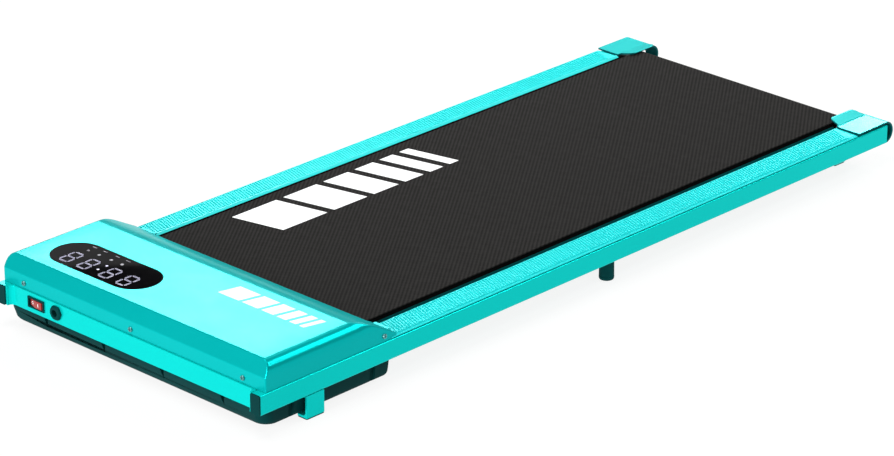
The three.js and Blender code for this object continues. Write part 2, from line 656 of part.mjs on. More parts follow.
function bellyPan() {
  const rim = RAIL_BOTTOM - GAP;
  const tub = cut(panSolid(0, rim), panSolid(PAN_WALL, rim + 5));
  const notchesX = [-1.5, -0.5, 0.5, 1.5].map((step) => step * PAN_NOTCH.spacing + PAN_NOTCH.offset);
  const bossBottom = PAN_BOTTOM + 2;
  const bosses = notchesX.map((x) => block(x - 8, x + 8, PAN_START + 2, PAN_START + 12, bossBottom, rim));
  const sideNotches = [1, -1].flatMap((side) => PAN_GROOVES_AT.map((distance) => [side, distance]));
  const sideBosses = sideNotches.map(([side, distance]) => (
    sideBlock(side, PAN_HALF_WIDTH - 11, PAN_HALF_WIDTH - 3, distance - 9, distance + 9, bossBottom, rim)));
  const solidTub = common(join(tub, ...bosses, ...sideBosses), panSolid(0, rim));
  const wedge = outline([[-PAN_NOTCH.half, rim + 1], [PAN_NOTCH.half, rim + 1], [0, rim - PAN_NOTCH.depth]]);
  const notches = notchesX.map((x) => at(alongY(wedge, 0, PAN_START + 7), x, 0, 0));
  const sideGrooves = sideNotches.map(([side, distance]) => (
    at(rod('z', PAN_BOTTOM - 1, rim + 1, 5, 12), side * PAN_HALF_WIDTH, distance, 0)));
  const beltRoom = block(-PAN_BELT_ROOM.half, PAN_BELT_ROOM.half, PAN_BELT_ROOM.start, PAN_END + 10,
    PAN_BELT_ROOM.bottom, 50);
  const body = cut(solidTub, ...notches, ...sideGrooves, beltRoom);
  return named('belly_pan', body, looks.blackPlastic, 0, along(0), 0);
}

// ---------------------------------------------------------------- display, switch and gland

function displayWindow() {
  const flush = alongZ(stadium(0, 0, WINDOW_LENGTH, WINDOW_DEPTH), -2.6, 0, 10);
  const flange = alongZ(stadium(0, 0, WINDOW_LENGTH + 7, WINDOW_DEPTH + 7), -3.8, -2.3, 10);
  return named('display_window', join(flush, flange), looks.glass, WINDOW_X, along(WINDOW_AT), HOOD_TOP);
}

function displayBoard() {
  const card = block(-80, 80, -28, 28, 0, 1.6);
  const digits = block(-62, 62, -22, 8, 1.2, 4.6);
  const lamps = block(-60, 60, 14, 22, 1.2, 3.4);
  const plug = block(-74, -62, -8, 8, -7, 0.4);
  return named('display_board', join(card, digits, lamps, plug), looks.board, WINDOW_X, along(WINDOW_AT), 92);
}

function switchHousing() {
  const bezel = block(-15.9, 15.9, -1.5, 0, -7.8, 7.8);
  const body = block(-14.4, 14.4, -0.5, 17, -6.4, 6.4);
  const pocket = block(-13.4, 13.4, -2, 15, -ROCKER_DEPTH / 2 - 0.25, ROCKER_DEPTH / 2 + 0.25);
  const blades = [-9, 0, 9].map((x) => block(x - 0.5, x + 0.5, 16, 24, -3, 3));
  const y = along(CROSSMEMBER_FACE - GAP);
  return named('switch_housing', cut(join(bezel, body, ...blades), pocket), looks.blackPlastic,
    SWITCH_X, y, SWITCH_HEIGHT);
}

// The rocker rests tipped to its "off" side and swings both ways about a pivot behind its face.
function switchRocker() {
  const half = ROCKER_LENGTH / 2 - 0.6;
  const crown = 6;
  const edge = crown - half * Math.tan(ROCKER_TILT);
  const face = outline([[-half, -edge], [0, -crown], [half, -edge], [half, 0], [6, 5], [-6, 5], [-half, 0]]);
  const body = alongZ(face, -ROCKER_DEPTH / 2, ROCKER_DEPTH / 2).rotateZ(-ROCKER_TILT);
  return named('switch_rocker', body, looks.rocker, SWITCH_X, along(ROCKER_PIVOT_AT), SWITCH_HEIGHT);
}

function cordGland() {
  const face = CROSSMEMBER_FACE - GAP;
  const bore = 4.9;
  const profile = [
    [face - 4, bore], [face - 4, 8.2], [face - 3.2, 9.2], [face - 1.6, 10.6], [face, 10.6],
    [face, GLAND_HOLE_RADIUS - 0.4], [24, GLAND_HOLE_RADIUS - 0.4], [24, bore], [face - 4, bore],
  ];
  const hexagon = new THREE.Shape();
  const across = 9.5 / Math.cos(Math.PI / 6);
  for (let corner = 0; corner < 6; corner += 1) {
    const angle = (corner * Math.PI) / 3;
    if (corner === 0) hexagon.moveTo(across, 0);
    else hexagon.lineTo(across * Math.cos(angle), across * Math.sin(angle));
  }
  const body = common(turned('y', profile, 18), alongY(hexagon, 0, 30));
  return named('cord_gland', body, looks.blackPlastic, GLAND_X, along(0), GLAND_HEIGHT);
}

// ---------------------------------------------------------------- deck and running belt

function deckBoard() {
  const bottom = DECK_TOP - DECK_THICKNESS;
  const section = new THREE.Shape();
  section.moveTo(DECK_START, bottom);
  section.lineTo(DECK_END, bottom);
  section.lineTo(DECK_END, DECK_TOP - 5);
  section.absarc(DECK_END - 5, DECK_TOP - 5, 5, 0, Math.PI / 2);
  section.lineTo(DECK_START + 5, DECK_TOP);
  section.absarc(DECK_START + 5, DECK_TOP - 5, 5, Math.PI / 2, Math.PI);
  const body = alongX(section, -DECK_HALF_WIDTH, DECK_HALF_WIDTH, 5);
  return named('deck_board', body, looks.wood, 0, along(0), 0);
}

function deckCushion(word) {
  const low = RAIL_BOTTOM + CROSS_TUBE_HEIGHT + GAP;
  const high = DECK_TOP - DECK_THICKNESS - GAP;
  const section = roundedRectangle(-11, 0, 11, high - low, 1.2);
  return named(`deck_cushion_${word}`, alongX(section, -188, 188, 2), looks.rubber,
    0, along(CROSS_TUBES_AT[word]), low);
}

function runningBelt() {
  const r = BELT_BEND_RADIUS;
  const band = loopPath(new THREE.Shape(), FRONT_ROLLER_AT, 0, r, REAR_ROLLER_AT, 0, r);
  const inner = r - BELT_THICKNESS;
  band.holes.push(loopPath(new THREE.Path(), FRONT_ROLLER_AT, 0, inner, REAR_ROLLER_AT, 0, inner));
  const body = alongX(band, -BELT_WIDTH / 2, BELT_WIDTH / 2, 20);
  return named('running_belt', body, looks.belt, 0, along(0), ROLLER_HEIGHT);
}

// ---------------------------------------------------------------- rollers, axles and bearings

function roller(name) {
  const bore = BEARING_RADIUS + 0.4;
  const r = ROLLER_RADIUS;
  const half = ROLLER_HALF;
  const profile = [
    [-half, bore], [-half, r - 0.8], [0.8 - half, r], [half - 0.8, r], [half, r - 0.8], [half, bore],
    [-half, bore],
  ];
  return named(name, turned('x', profile, 48), looks.steel);
}

function bearing(name, side) {
  const profile = [
    [0, AXLE_RADIUS + 0.4], [0, 10.5], [0.8, 11], [0.8, 13.5], [0, 14], [0, BEARING_RADIUS],
    [BEARING_WIDTH, BEARING_RADIUS], [BEARING_WIDTH, AXLE_RADIUS + 0.4], [0, AXLE_RADIUS + 0.4],
  ];
  const ring = turned('x', profile, 20).rotateZ(side > 0 ? Math.PI : 0);
  return named(name, ring, looks.steel, side * (ROLLER_HALF - 1), 0, 0);
}

function rollerPulley() {
  const hub = ROLLER_HALF + GAP;
  const profile = [
    [hub, 8.4], [hub, 15], [PULLEY_INNER, 15], [PULLEY_INNER, ROLLER_PULLEY_RADIUS],
    [PULLEY_OUTER, ROLLER_PULLEY_RADIUS], [PULLEY_OUTER, 27], [PULLEY_OUTER - 3, 26],
    [PULLEY_OUTER - 3, 14], [PULLEY_OUTER, 13], [PULLEY_OUTER, 8.4], [hub, 8.4],
  ];
  return named('front_roller_pulley', turned('x', profile, 30), looks.blackPlastic);
}

function frontAxle() {
  const half = AXLE_HALF;
  const r = AXLE_RADIUS;
  const profile = [[-half, 0], [-half, r - 1], [1 - half, r], [half - 1, r], [half, r - 1], [half, 0]];
  return named('front_axle', turned('x', profile, 24), looks.darkSteel);
}

const TENSION_BOLT_X = 226;
const BOLT_RADIUS = 3;

function rearAxle() {
  const bar = rod('x', -AXLE_HALF, AXLE_HALF, AXLE_RADIUS, 24);
  const hole = rod('y', -12, 12, BOLT_RADIUS + 0.4, 16);
  const holes = [1, -1].map((side) => at(hole, side * TENSION_BOLT_X, 0, 0));
  return named('rear_axle', cut(bar, ...holes), looks.darkSteel);
}

const AXLE_PLATE_INNER = 220;

function axleBracket(side, word) {
  const low = Math.min(side * AXLE_PLATE_INNER, side * (RAIL_INNER - GAP));
  const high = Math.max(side * AXLE_PLATE_INNER, side * (RAIL_INNER - GAP));
  const plate = alongX(roundedRectangle(-15, -12, 15, 13, 4), low, high, 3);
  const hole = rod('x', -HALF_WIDTH, HALF_WIDTH, AXLE_RADIUS + 0.4, 24);
  return named(`${word}_front_axle_bracket`, cut(plate, hole), looks.darkSteel);
}

// The rear axle can slide forward in the block's slot when the tension bolt is slackened.
const TENSION_TRAVEL = 6;

function axleBlock(side, word) {
  const low = Math.min(side * AXLE_PLATE_INNER, side * (RAIL_INNER - GAP));
  const high = Math.max(side * AXLE_PLATE_INNER, side * (RAIL_INNER - GAP));
  const plate = alongX(roundedRectangle(-20, -12, 22, 13, 2), low, high, 3);
  const play = AXLE_RADIUS + 0.4;
  const opening = stadium(-TENSION_TRAVEL / 2 - 0.2, 0, 2 * play + TENSION_TRAVEL, 2 * play);
  const slot = alongX(opening, -HALF_WIDTH, HALF_WIDTH, 8);
  const boltHole = at(rod('y', -30, 30, BOLT_RADIUS + 0.4, 16), side * TENSION_BOLT_X, 0, 0);
  return named(`${word}_rear_axle_block`, cut(plate, slot, boltHole), looks.darkSteel);
}

function tensionBolt(side, word) {
  const shank = rod('y', -14, 22.8, BOLT_RADIUS, 16);
  const head = rod('y', 22.3, 28.3, 5, 20);
  const socket = rod('y', 25.3, 30, 2.6, 6);
  const bolt = cut(join(shank, head), socket);
  return named(`${word}_tension_bolt`, bolt, looks.steel, side * TENSION_BOLT_X, 0, 0);
}

// ---------------------------------------------------------------- motor and its drive

const MOTOR_START = 42;
const MOTOR_END = 170;

function motorBody() {
  const r = MOTOR_RADIUS;
  const bore = 5.6;
  const s = MOTOR_START;
  const e = MOTOR_END;
  const profile = [
    [s, 0], [s, 10], [s + 3, 11], [s + 3, r - 6], [s + 5, r - 2], [s + 16, r - 2], [s + 16.8, r],
    [e - 16.8, r], [e - 16, r - 2], [e - 5, r - 2], [e - 3, r - 6], [e - 3, 11], [e, 10], [e, bore],
    [e - 20, bore], [e - 20, 0],
  ];
  return named('motor_body', turned('x', profile, 28), looks.darkSteel);
}

function motorRotor() {
  const r = MOTOR_PULLEY_RADIUS;
  const shaft = 5;
  const profile = [
    [MOTOR_END - 18, 0], [MOTOR_END - 18, shaft], [MOTOR_END + 6, shaft], [MOTOR_END + 6, 26],
    [MOTOR_END + 18, 26], [MOTOR_END + 18, 12], [PULLEY_INNER - 2, 12], [PULLEY_INNER - 2, r + 2.4],
    [PULLEY_INNER, r + 2.4], [PULLEY_INNER, r], [PULLEY_OUTER, r], [PULLEY_OUTER, shaft],
    [PULLEY_OUTER + 3, shaft], [PULLEY_OUTER + 3, 0],
  ];
  return named('motor_rotor', turned('x', profile, 24), looks.steel);
}

const MOTOR_TUBE_AT = 111.5;
const MOTOR_TUBE_SIZE = 15;
const CRADLE_START = 88;
const CRADLE_END = 126;

// The cradle under the motor is welded to the motor's own cross tube.
function motorMount() {
  const inner = MOTOR_RADIUS + 0.5;
  const outer = inner + 3;
  const ear = 3;
  const weld = 0.4;
  const innerStart = Math.asin((ear - weld) / inner);
  const outerStart = Math.asin(-weld / outer);
  const front = CROSSMEMBER_FACE + SHEET + 0.5 - MOTOR_AT;
  const tubeBack = MOTOR_TUBE_AT + MOTOR_TUBE_SIZE / 2 - MOTOR_AT;
  const saddle = new THREE.Shape();
  saddle.moveTo(tubeBack - 1, -weld);
  saddle.lineTo(tubeBack - 1, ear - weld);
  saddle.lineTo(inner * Math.cos(innerStart), ear - weld);
  saddle.absarc(0, 0, inner, innerStart, -Math.PI - innerStart, true);
  saddle.lineTo(front, ear - weld);
  saddle.lineTo(front, -weld);
  saddle.lineTo(-outer * Math.cos(outerStart), -weld);
  saddle.absarc(0, 0, outer, -Math.PI - outerStart, outerStart, false);
  const low = RAIL_BOTTOM - MOTOR_HEIGHT;
  const section = tubeSection(tubeBack - MOTOR_TUBE_SIZE, low, tubeBack, low + MOTOR_TUBE_SIZE);
  const end = RAIL_INNER - GAP;
  const cradle = alongX(saddle, CRADLE_START, CRADLE_END, 18);
  return named('motor_mount', join(alongX(section, -end, end, 2), cradle), looks.paint);
}

function driveBelt() {
  const reach = FRONT_ROLLER_AT - MOTOR_AT;
  const rise = ROLLER_HEIGHT - MOTOR_HEIGHT;
  const small = MOTOR_PULLEY_RADIUS + GAP;
  const large = ROLLER_PULLEY_RADIUS + GAP;
  const thick = DRIVE_BELT_THICKNESS;
  const band = loopPath(new THREE.Shape(), 0, 0, small + thick, reach, rise, large + thick);
  band.holes.push(loopPath(new THREE.Path(), 0, 0, small, reach, rise, large));
  return named('drive_belt', alongX(band, PULLEY_INNER + 1, PULLEY_OUTER - 1, 14), looks.rubber);
}

const PAN_FLOOR = PAN_BOTTOM + PAN_WALL + GAP;
const BOARD = { left: -214, start: 36, length: 118, depth: 62, thick: 1.6, post: 5 };

function controlBoard() {
  const { length, depth, thick, post } = BOARD;
  const root = thick - 0.4; // the components stand a little into the card, which joins them to it
  const card = block(0, length, 0, depth, 0, thick);
  const transformer = block(8, 34, 6, 30, root, 19);
  const relay = block(40, 58, 8, 24, root, 15);
  const bridge = block(64, 100, 36, 56, root, 12);
  const terminals = block(106, 114, 6, 40, root, 11);
  const capacitors = [20, 46].map((x) => at(rod('z', root, 30, 11, 20), x, 46, 0));
  const coil = at(rod('z', root, 12, 6, 16), 82, 18, 0);
  const corners = [5, length - 5].flatMap((x) => [5, depth - 5].map((y) => [x, y]));
  const posts = corners.map(([x, y]) => at(rod('z', -post, 0.4, 2.5, 10), x, y, 0));
  const body = join(card, transformer, relay, bridge, terminals, ...capacitors, coil, ...posts);
  return named('control_board', body, looks.board, BOARD.left, along(BOARD.start), PAN_FLOOR + post);
}

const HEAT_SINK = { left: -86, fins: 9, pitch: 6, fin: 2, base: 4, height: 28 };

function heatSink() {
  const { left, fins, pitch, fin, base, height } = HEAT_SINK;
  const comb = new THREE.Shape();
  comb.moveTo(0, 0);
  comb.lineTo((fins - 1) * pitch + fin, 0);
  for (let i = fins - 1; i >= 0; i -= 1) {
    const u = i * pitch;
    comb.lineTo(u + fin, height);
    comb.lineTo(u, height);
    if (i > 0) {
      comb.lineTo(u, base);
      comb.lineTo(u - pitch + fin, base);
    }
  }
  return named('heat_sink', alongY(comb, 0, BOARD.depth), looks.aluminium,
    left, along(BOARD.start), PAN_FLOOR);
}

// ---------------------------------------------------------------- assembly

function groupAt(distance, height, ...pieces) {
  const group = new THREE.Group();
  group.position.set(0, along(distance), height);
  group.add(...pieces.flat());
  return group;
}

const frame = new THREE.Group();
frame.add(
  ...bothSides(sideRail), ...bothSides(railPlug), frontCrossmember(),
  ...Object.entries(CROSS_TUBES_AT).map(([word, distance]) => crossTube(word, distance)),
  ...bothSides(frontLeg), ...bothSides(frontLegPad), ...bothSides(middleFoot),
  ...bothSides(rearLeg), ...bothSides(rearLegPad), ...bothSides(footStrip), ...bothSides(rearCap),
);

const housing = new THREE.Group();
housing.add(
  motorHood(), frontHoodScrew(1, 'left'), frontHoodScrew(0, 'centre'), frontHoodScrew(-1, 'right'),
  ...bothSides(sideHoodScrew), bellyPan(), displayWindow(), displayBoard(),
  switchHousing(), switchRocker(), cordGland(), controlBoard(), heatSink(),
);

const deck = new THREE.Group();
deck.add(deckBoard(), ...Object.keys(CROSS_TUBES_AT).map(deckCushion), runningBelt());

const frontEnd = groupAt(FRONT_ROLLER_AT, ROLLER_HEIGHT,
  roller('front_roller'), rollerPulley(), frontAxle(),
  bearing('front_left_bearing', 1), bearing('front_right_bearing', -1), bothSides(axleBracket));

const rearEnd = groupAt(REAR_ROLLER_AT, ROLLER_HEIGHT,
  roller('rear_roller'), rearAxle(), bearing('rear_left_bearing', 1), bearing('rear_right_bearing', -1),
  bothSides(axleBlock), bothSides(tensionBolt));

const drive = groupAt(MOTOR_AT, MOTOR_HEIGHT, motorBody(), motorRotor(), motorMount(), driveBelt());

const treadmill = new THREE.Group();
treadmill.name = 'walking_pad';
treadmill.add(frame, housing, deck, frontEnd, rearEnd, drive);

export default treadmill;
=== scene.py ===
"""Looks of an under-desk treadmill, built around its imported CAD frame.

Everything is in the frame's own space: +Z up, the motor hood at -Y, the walker's left at +X.
Sizes and places below are millimetres, and MM turns them into metres where a mesh is made.
"""
import json
import math

import bmesh
import bpy
from mathutils import Matrix, Vector


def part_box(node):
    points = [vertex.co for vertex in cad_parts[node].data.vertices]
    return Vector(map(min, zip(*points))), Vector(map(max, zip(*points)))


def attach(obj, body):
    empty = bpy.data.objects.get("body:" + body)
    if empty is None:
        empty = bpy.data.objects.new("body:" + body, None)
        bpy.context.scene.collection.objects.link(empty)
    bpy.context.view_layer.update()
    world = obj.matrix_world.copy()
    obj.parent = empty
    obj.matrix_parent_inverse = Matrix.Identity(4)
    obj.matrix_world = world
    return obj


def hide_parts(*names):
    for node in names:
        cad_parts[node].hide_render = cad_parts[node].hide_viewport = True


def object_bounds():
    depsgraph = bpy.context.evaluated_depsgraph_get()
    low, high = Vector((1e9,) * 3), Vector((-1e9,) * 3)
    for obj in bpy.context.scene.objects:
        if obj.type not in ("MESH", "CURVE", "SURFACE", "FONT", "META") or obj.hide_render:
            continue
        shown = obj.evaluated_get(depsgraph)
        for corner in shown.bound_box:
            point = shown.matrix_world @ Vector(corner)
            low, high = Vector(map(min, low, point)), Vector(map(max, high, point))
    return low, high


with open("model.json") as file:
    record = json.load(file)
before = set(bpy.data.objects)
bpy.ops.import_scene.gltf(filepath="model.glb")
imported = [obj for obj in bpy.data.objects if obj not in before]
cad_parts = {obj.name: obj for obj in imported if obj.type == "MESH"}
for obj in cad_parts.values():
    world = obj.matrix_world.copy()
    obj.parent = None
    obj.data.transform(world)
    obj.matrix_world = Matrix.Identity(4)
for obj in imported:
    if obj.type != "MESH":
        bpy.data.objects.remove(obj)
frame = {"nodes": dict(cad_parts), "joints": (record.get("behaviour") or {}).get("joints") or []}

CAD_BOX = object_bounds()
MM = 0.001
SIDES = (("left", 1), ("right", -1))
JOIN_WITHIN = 0.002  # corners this close are one corner
FRONT = CAD_BOX[0].y / MM


def along(distance):
    """Y of a point that lies this far behind the machine's front face."""
    return FRONT + distance


def span(node):
    """Lowest and highest corner of a CAD node."""
    low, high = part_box(node)
    return low / MM, high / MM


def centre(node):
    low, high = span(node)
    return (low + high) / 2


# ---- curves


def arc(u, v, radius, start, end, steps):
    """Points on a round stretch from one angle to the other, in degrees."""
    angles = [math.radians(start + (end - start) * i / steps) for i in range(steps + 1)]
    return [(u + radius * math.cos(a), v + radius * math.sin(a)) for a in angles]


def bezier(points, steps):
    """Points on a Bezier curve from its first control point to its last, by repeated interpolation."""
    curve = []
    for i in range(steps + 1):
        level = [Vector(p) for p in points]
        while len(level) > 1:
            level = [a.lerp(b, i / steps) for a, b in zip(level, level[1:])]
        curve.append(tuple(level[0]))
    return curve


def rounded_box(u0, v0, u1, v1, radius, steps=4):
    corners = ((u1 - radius, v0 + radius, -90), (u1 - radius, v1 - radius, 0),
               (u0 + radius, v1 - radius, 90), (u0 + radius, v0 + radius, 180))
    return [p for u, v, start in corners for p in arc(u, v, radius, start, start + 90, steps)]


def stadium(u, v, length, width, steps=20):
    reach = (length - width) / 2
    return (arc(u + reach, v, width / 2, -90, 90, steps)
            + arc(u - reach, v, width / 2, 90, 270, steps))


def resampled(points, count):
    """The same polyline with its points evenly spaced."""
    points = [Vector(p) for p in points]
    reach = [0.0]
    for a, b in zip(points, points[1:]):
        reach.append(reach[-1] + (b - a).length)
    placed = []
    for i in range(count + 1):
        want = reach[-1] * i / count
        k = max(j for j in range(len(points) - 1) if reach[j] <= want + 1e-9)
        length = reach[k + 1] - reach[k]
        placed.append(points[k].lerp(points[k + 1], (want - reach[k]) / length if length else 0))
    return placed


# ---- meshes


def add_faces(bm, points, faces, material=0):
    corners = [bm.verts.new(Vector(p) * MM) for p in points]
    for face in faces:
        made = bm.faces.new([corners[i] for i in face])
        made.material_index = material


def on_axis(axis, u, v, w):
    """A point of an outline drawn across an axis, w along it."""
    return {"x": (w, u, v), "y": (u, w, v), "z": (u, v, w)}[axis]


def add_prism(bm, outline, axis, low, high, material=0):
    n = len(outline)
    points = [on_axis(axis, u, v, w) for w in (low, high) for u, v in outline]
    faces = [(i, (i + 1) % n, n + (i + 1) % n, n + i) for i in range(n)]
    add_faces(bm, points, faces + [tuple(range(n)), tuple(range(n, 2 * n))], material)


def add_turned(bm, profile, axis, place, steps=48, material=0):
    """A turned solid: profile gives (distance along the axis, radius), from one end to the other."""
    points = []
    for i in range(steps):
        angle = math.tau * i / steps
        for w, r in profile:
            u, v = r * math.cos(angle), r * math.sin(angle)
            points.append(Vector(place) + Vector(on_axis(axis, u, v, w)))
    n = len(profile)
    faces = []
    for i in range(steps):
        j = (i + 1) % steps
        faces += [(i * n + k, j * n + k, j * n + k + 1, i * n + k + 1) for k in range(n - 1)]
    faces += [tuple(i * n + k for i in range(steps)) for k in (0, n - 1)]
    add_faces(bm, points, faces, material)


def add_frame(bm, outer, inner, axis, low, high):
    """A flat rim between two outlines that have the same number of points."""
    n = len(outer)
    points = [on_axis(axis, u, v, w) for w in (low, high) for ring in (outer, inner) for u, v in ring]
    faces = []
    for i in range(n):
        j = (i + 1) % n
        faces += [(i, j, n + j, n + i), (2 * n + i, 3 * n + i, 3 * n + j, 2 * n + j),
                  (i, 2 * n + i, 2 * n + j, j), (n + i, n + j, 3 * n + j, 3 * n + i)]
    add_faces(bm, points, faces)


def add_loft(bm, rings, material=0):
    """A closed solid through rings that have the same number of points."""
    n = len(rings[0])
    faces = [(k * n + i, k * n + (i + 1) % n, (k + 1) * n + (i + 1) % n, (k + 1) * n + i)
             for k in range(len(rings) - 1) for i in range(n)]
    last = (len(rings) - 1) * n
    faces += [tuple(range(n)), tuple(range(last, last + n))]
    add_faces(bm, [p for ring in rings for p in ring], faces, material)


def add_shell(bm, grids, material=0):
    """A sheet with thickness, from grids that each hold matching outer and inner rows of points."""
    index, outer, inner, quads = {}, [], [], []
    for outer_rows, inner_rows in grids:
        keys = []
        for out_row, in_row in zip(outer_rows, inner_rows):
            keys.append([])
            for p, q in zip(out_row, in_row):
                key = tuple(round(c, 3) for c in p)
                if key not in index:
                    index[key] = len(outer)
                    outer.append(p)
                    inner.append(q)
                keys[-1].append(index[key])
        for low, high in zip(keys, keys[1:]):
            quads += [(low[i], low[i + 1], high[i + 1], high[i]) for i in range(len(low) - 1)]
    quads = [tuple(dict.fromkeys(quad)) for quad in quads]
    quads = [quad for quad in quads if len(quad) > 2]
    uses = {}
    for quad in quads:
        for a, b in zip(quad, quad[1:] + quad[:1]):
            uses.setdefault(frozenset((a, b)), []).append((a, b))
    rims = [pairs[0] for pairs in uses.values() if len(pairs) == 1]
    n = len(outer)
    faces = quads + [tuple(i + n for i in reversed(quad)) for quad in quads]
    faces += [(b, a, a + n, b + n) for a, b in rims]
    add_faces(bm, outer + inner, faces, material)


def settled(bm):
    """Joins corners that meet, removes what has no size and turns the faces outwards."""
    bmesh.ops.remove_doubles(bm, verts=bm.verts, dist=JOIN_WITHIN * MM)
    bmesh.ops.dissolve_degenerate(bm, dist=JOIN_WITHIN * MM, edges=bm.edges)
    bmesh.ops.recalc_face_normals(bm, faces=bm.faces)
    return bm


def as_object(name, bm):
    mesh = bpy.data.meshes.new(name)
    settled(bm).to_mesh(mesh)
    bm.free()
    made = bpy.data.objects.new(name, mesh)
    bpy.context.scene.collection.objects.link(made)
    return made


def prism_object(outline, axis, low, high):
    bm = bmesh.new()
    add_prism(bm, outline, axis, low, high)
    return as_object("tool", bm)


def box_object(x0, x1, y0, y1, z0, z1):
    x0, x1 = sorted((x0, x1))
    return prism_object([(x0, y0), (x1, y0), (x1, y1), (x0, y1)], "z", z0, z1)


def applied(made):
    """Turns an object's modifiers into mesh."""
    evaluated = made.evaluated_get(bpy.context.evaluated_depsgraph_get())
    mesh = bpy.data.meshes.new_from_object(evaluated)
    made.modifiers.clear()
    made.data = mesh
    return made


def combined(made, operation, *tools):
    for tool in tools:
        step = made.modifiers.new("combine", "BOOLEAN")
        step.operation = operation
        step.solver = "EXACT"
        step.object = tool
        applied(made)
        bpy.data.objects.remove(tool)
    return made


# ---- shading of edges

SMOOTH_BELOW = 34  # degrees between faces that are shaded as one surface
CAD_WELD = 0.005
CAD_FLAT_WITHIN = 0.3  # degrees between CAD triangles that are one plain face

def smoothing_tree():
    """Geometry nodes that shade smooth but keep edges sharper than the angle."""
    tree = bpy.data.node_groups.new("smooth_below_angle", "GeometryNodeTree")
    tree.interface.new_socket("Geometry", in_out="INPUT", socket_type="NodeSocketGeometry")
    tree.interface.new_socket("Geometry", in_out="OUTPUT", socket_type="NodeSocketGeometry")
    start = tree.nodes.new("NodeGroupInput")
    end = tree.nodes.new("NodeGroupOutput")
    faces = tree.nodes.new("GeometryNodeSetShadeSmooth")
    edges = tree.nodes.new("GeometryNodeSetShadeSmooth")
    angle = tree.nodes.new("GeometryNodeInputMeshEdgeAngle")
    sharper = tree.nodes.new("FunctionNodeCompare")
    edges.domain = "EDGE"
    edges.inputs["Shade Smooth"].default_value = False
    sharper.inputs["B"].default_value = math.radians(SMOOTH_BELOW)
    link = tree.links.new
    link(start.outputs[0], faces.inputs["Geometry"])
    link(faces.outputs[0], edges.inputs["Geometry"])
    link(angle.outputs["Unsigned Angle"], sharper.inputs["A"])
    link(sharper.outputs["Result"], edges.inputs["Selection"])
    link(edges.outputs[0], end.inputs[0])
    return tree


SMOOTHING = smoothing_tree()


def shade(made, bevel=0.0, segments=2, angle=40):
    """Rounds the sharp edges a little and shades the rest smooth."""
    if bevel:
        step = made.modifiers.new("round_edges", "BEVEL")
        step.width = bevel * MM
        step.segments = segments
        step.limit_method = "ANGLE"
        step.angle_limit = math.radians(angle)
        step.use_clamp_overlap = True
    made.modifiers.new("smooth", "NODES").node_group = SMOOTHING
    step = made.modifiers.new("even_shading", "WEIGHTED_NORMAL")
    step.keep_sharp = True
    step.weight = 100


def shade_cad(node, bevel):
    """The same for a CAD node, whose triangles are joined into plain faces first.

    Bevelling a joined face can make it spread past its outline. It does so on front_crossmember,
    over part of the switch cutout, and on one end face of motor_rotor.
    """
    made = frame["nodes"][node]
    normals = made.data.attributes.get("custom_normal")
    if normals:
        made.data.attributes.remove(normals)
    made.modifiers.new("join_corners", "WELD").merge_threshold = CAD_WELD * MM
    step = made.modifiers.new("plain_faces", "DECIMATE")
    step.decimate_type = "DISSOLVE"
    step.angle_limit = math.radians(CAD_FLAT_WITHIN)
    shade(made, bevel)


def finished(made, looks, body, nodes=(), bevel=0.0, segments=2, angle=40):
    """Gives a piece its materials, its body and the CAD nodes that it stands for."""
    if not made.data.materials:
        for look in looks:
            made.data.materials.append(look)
    shade(made, bevel, segments, angle)
    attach(made, body)
    if nodes:
        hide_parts(*nodes)
    return made


# ---- materials


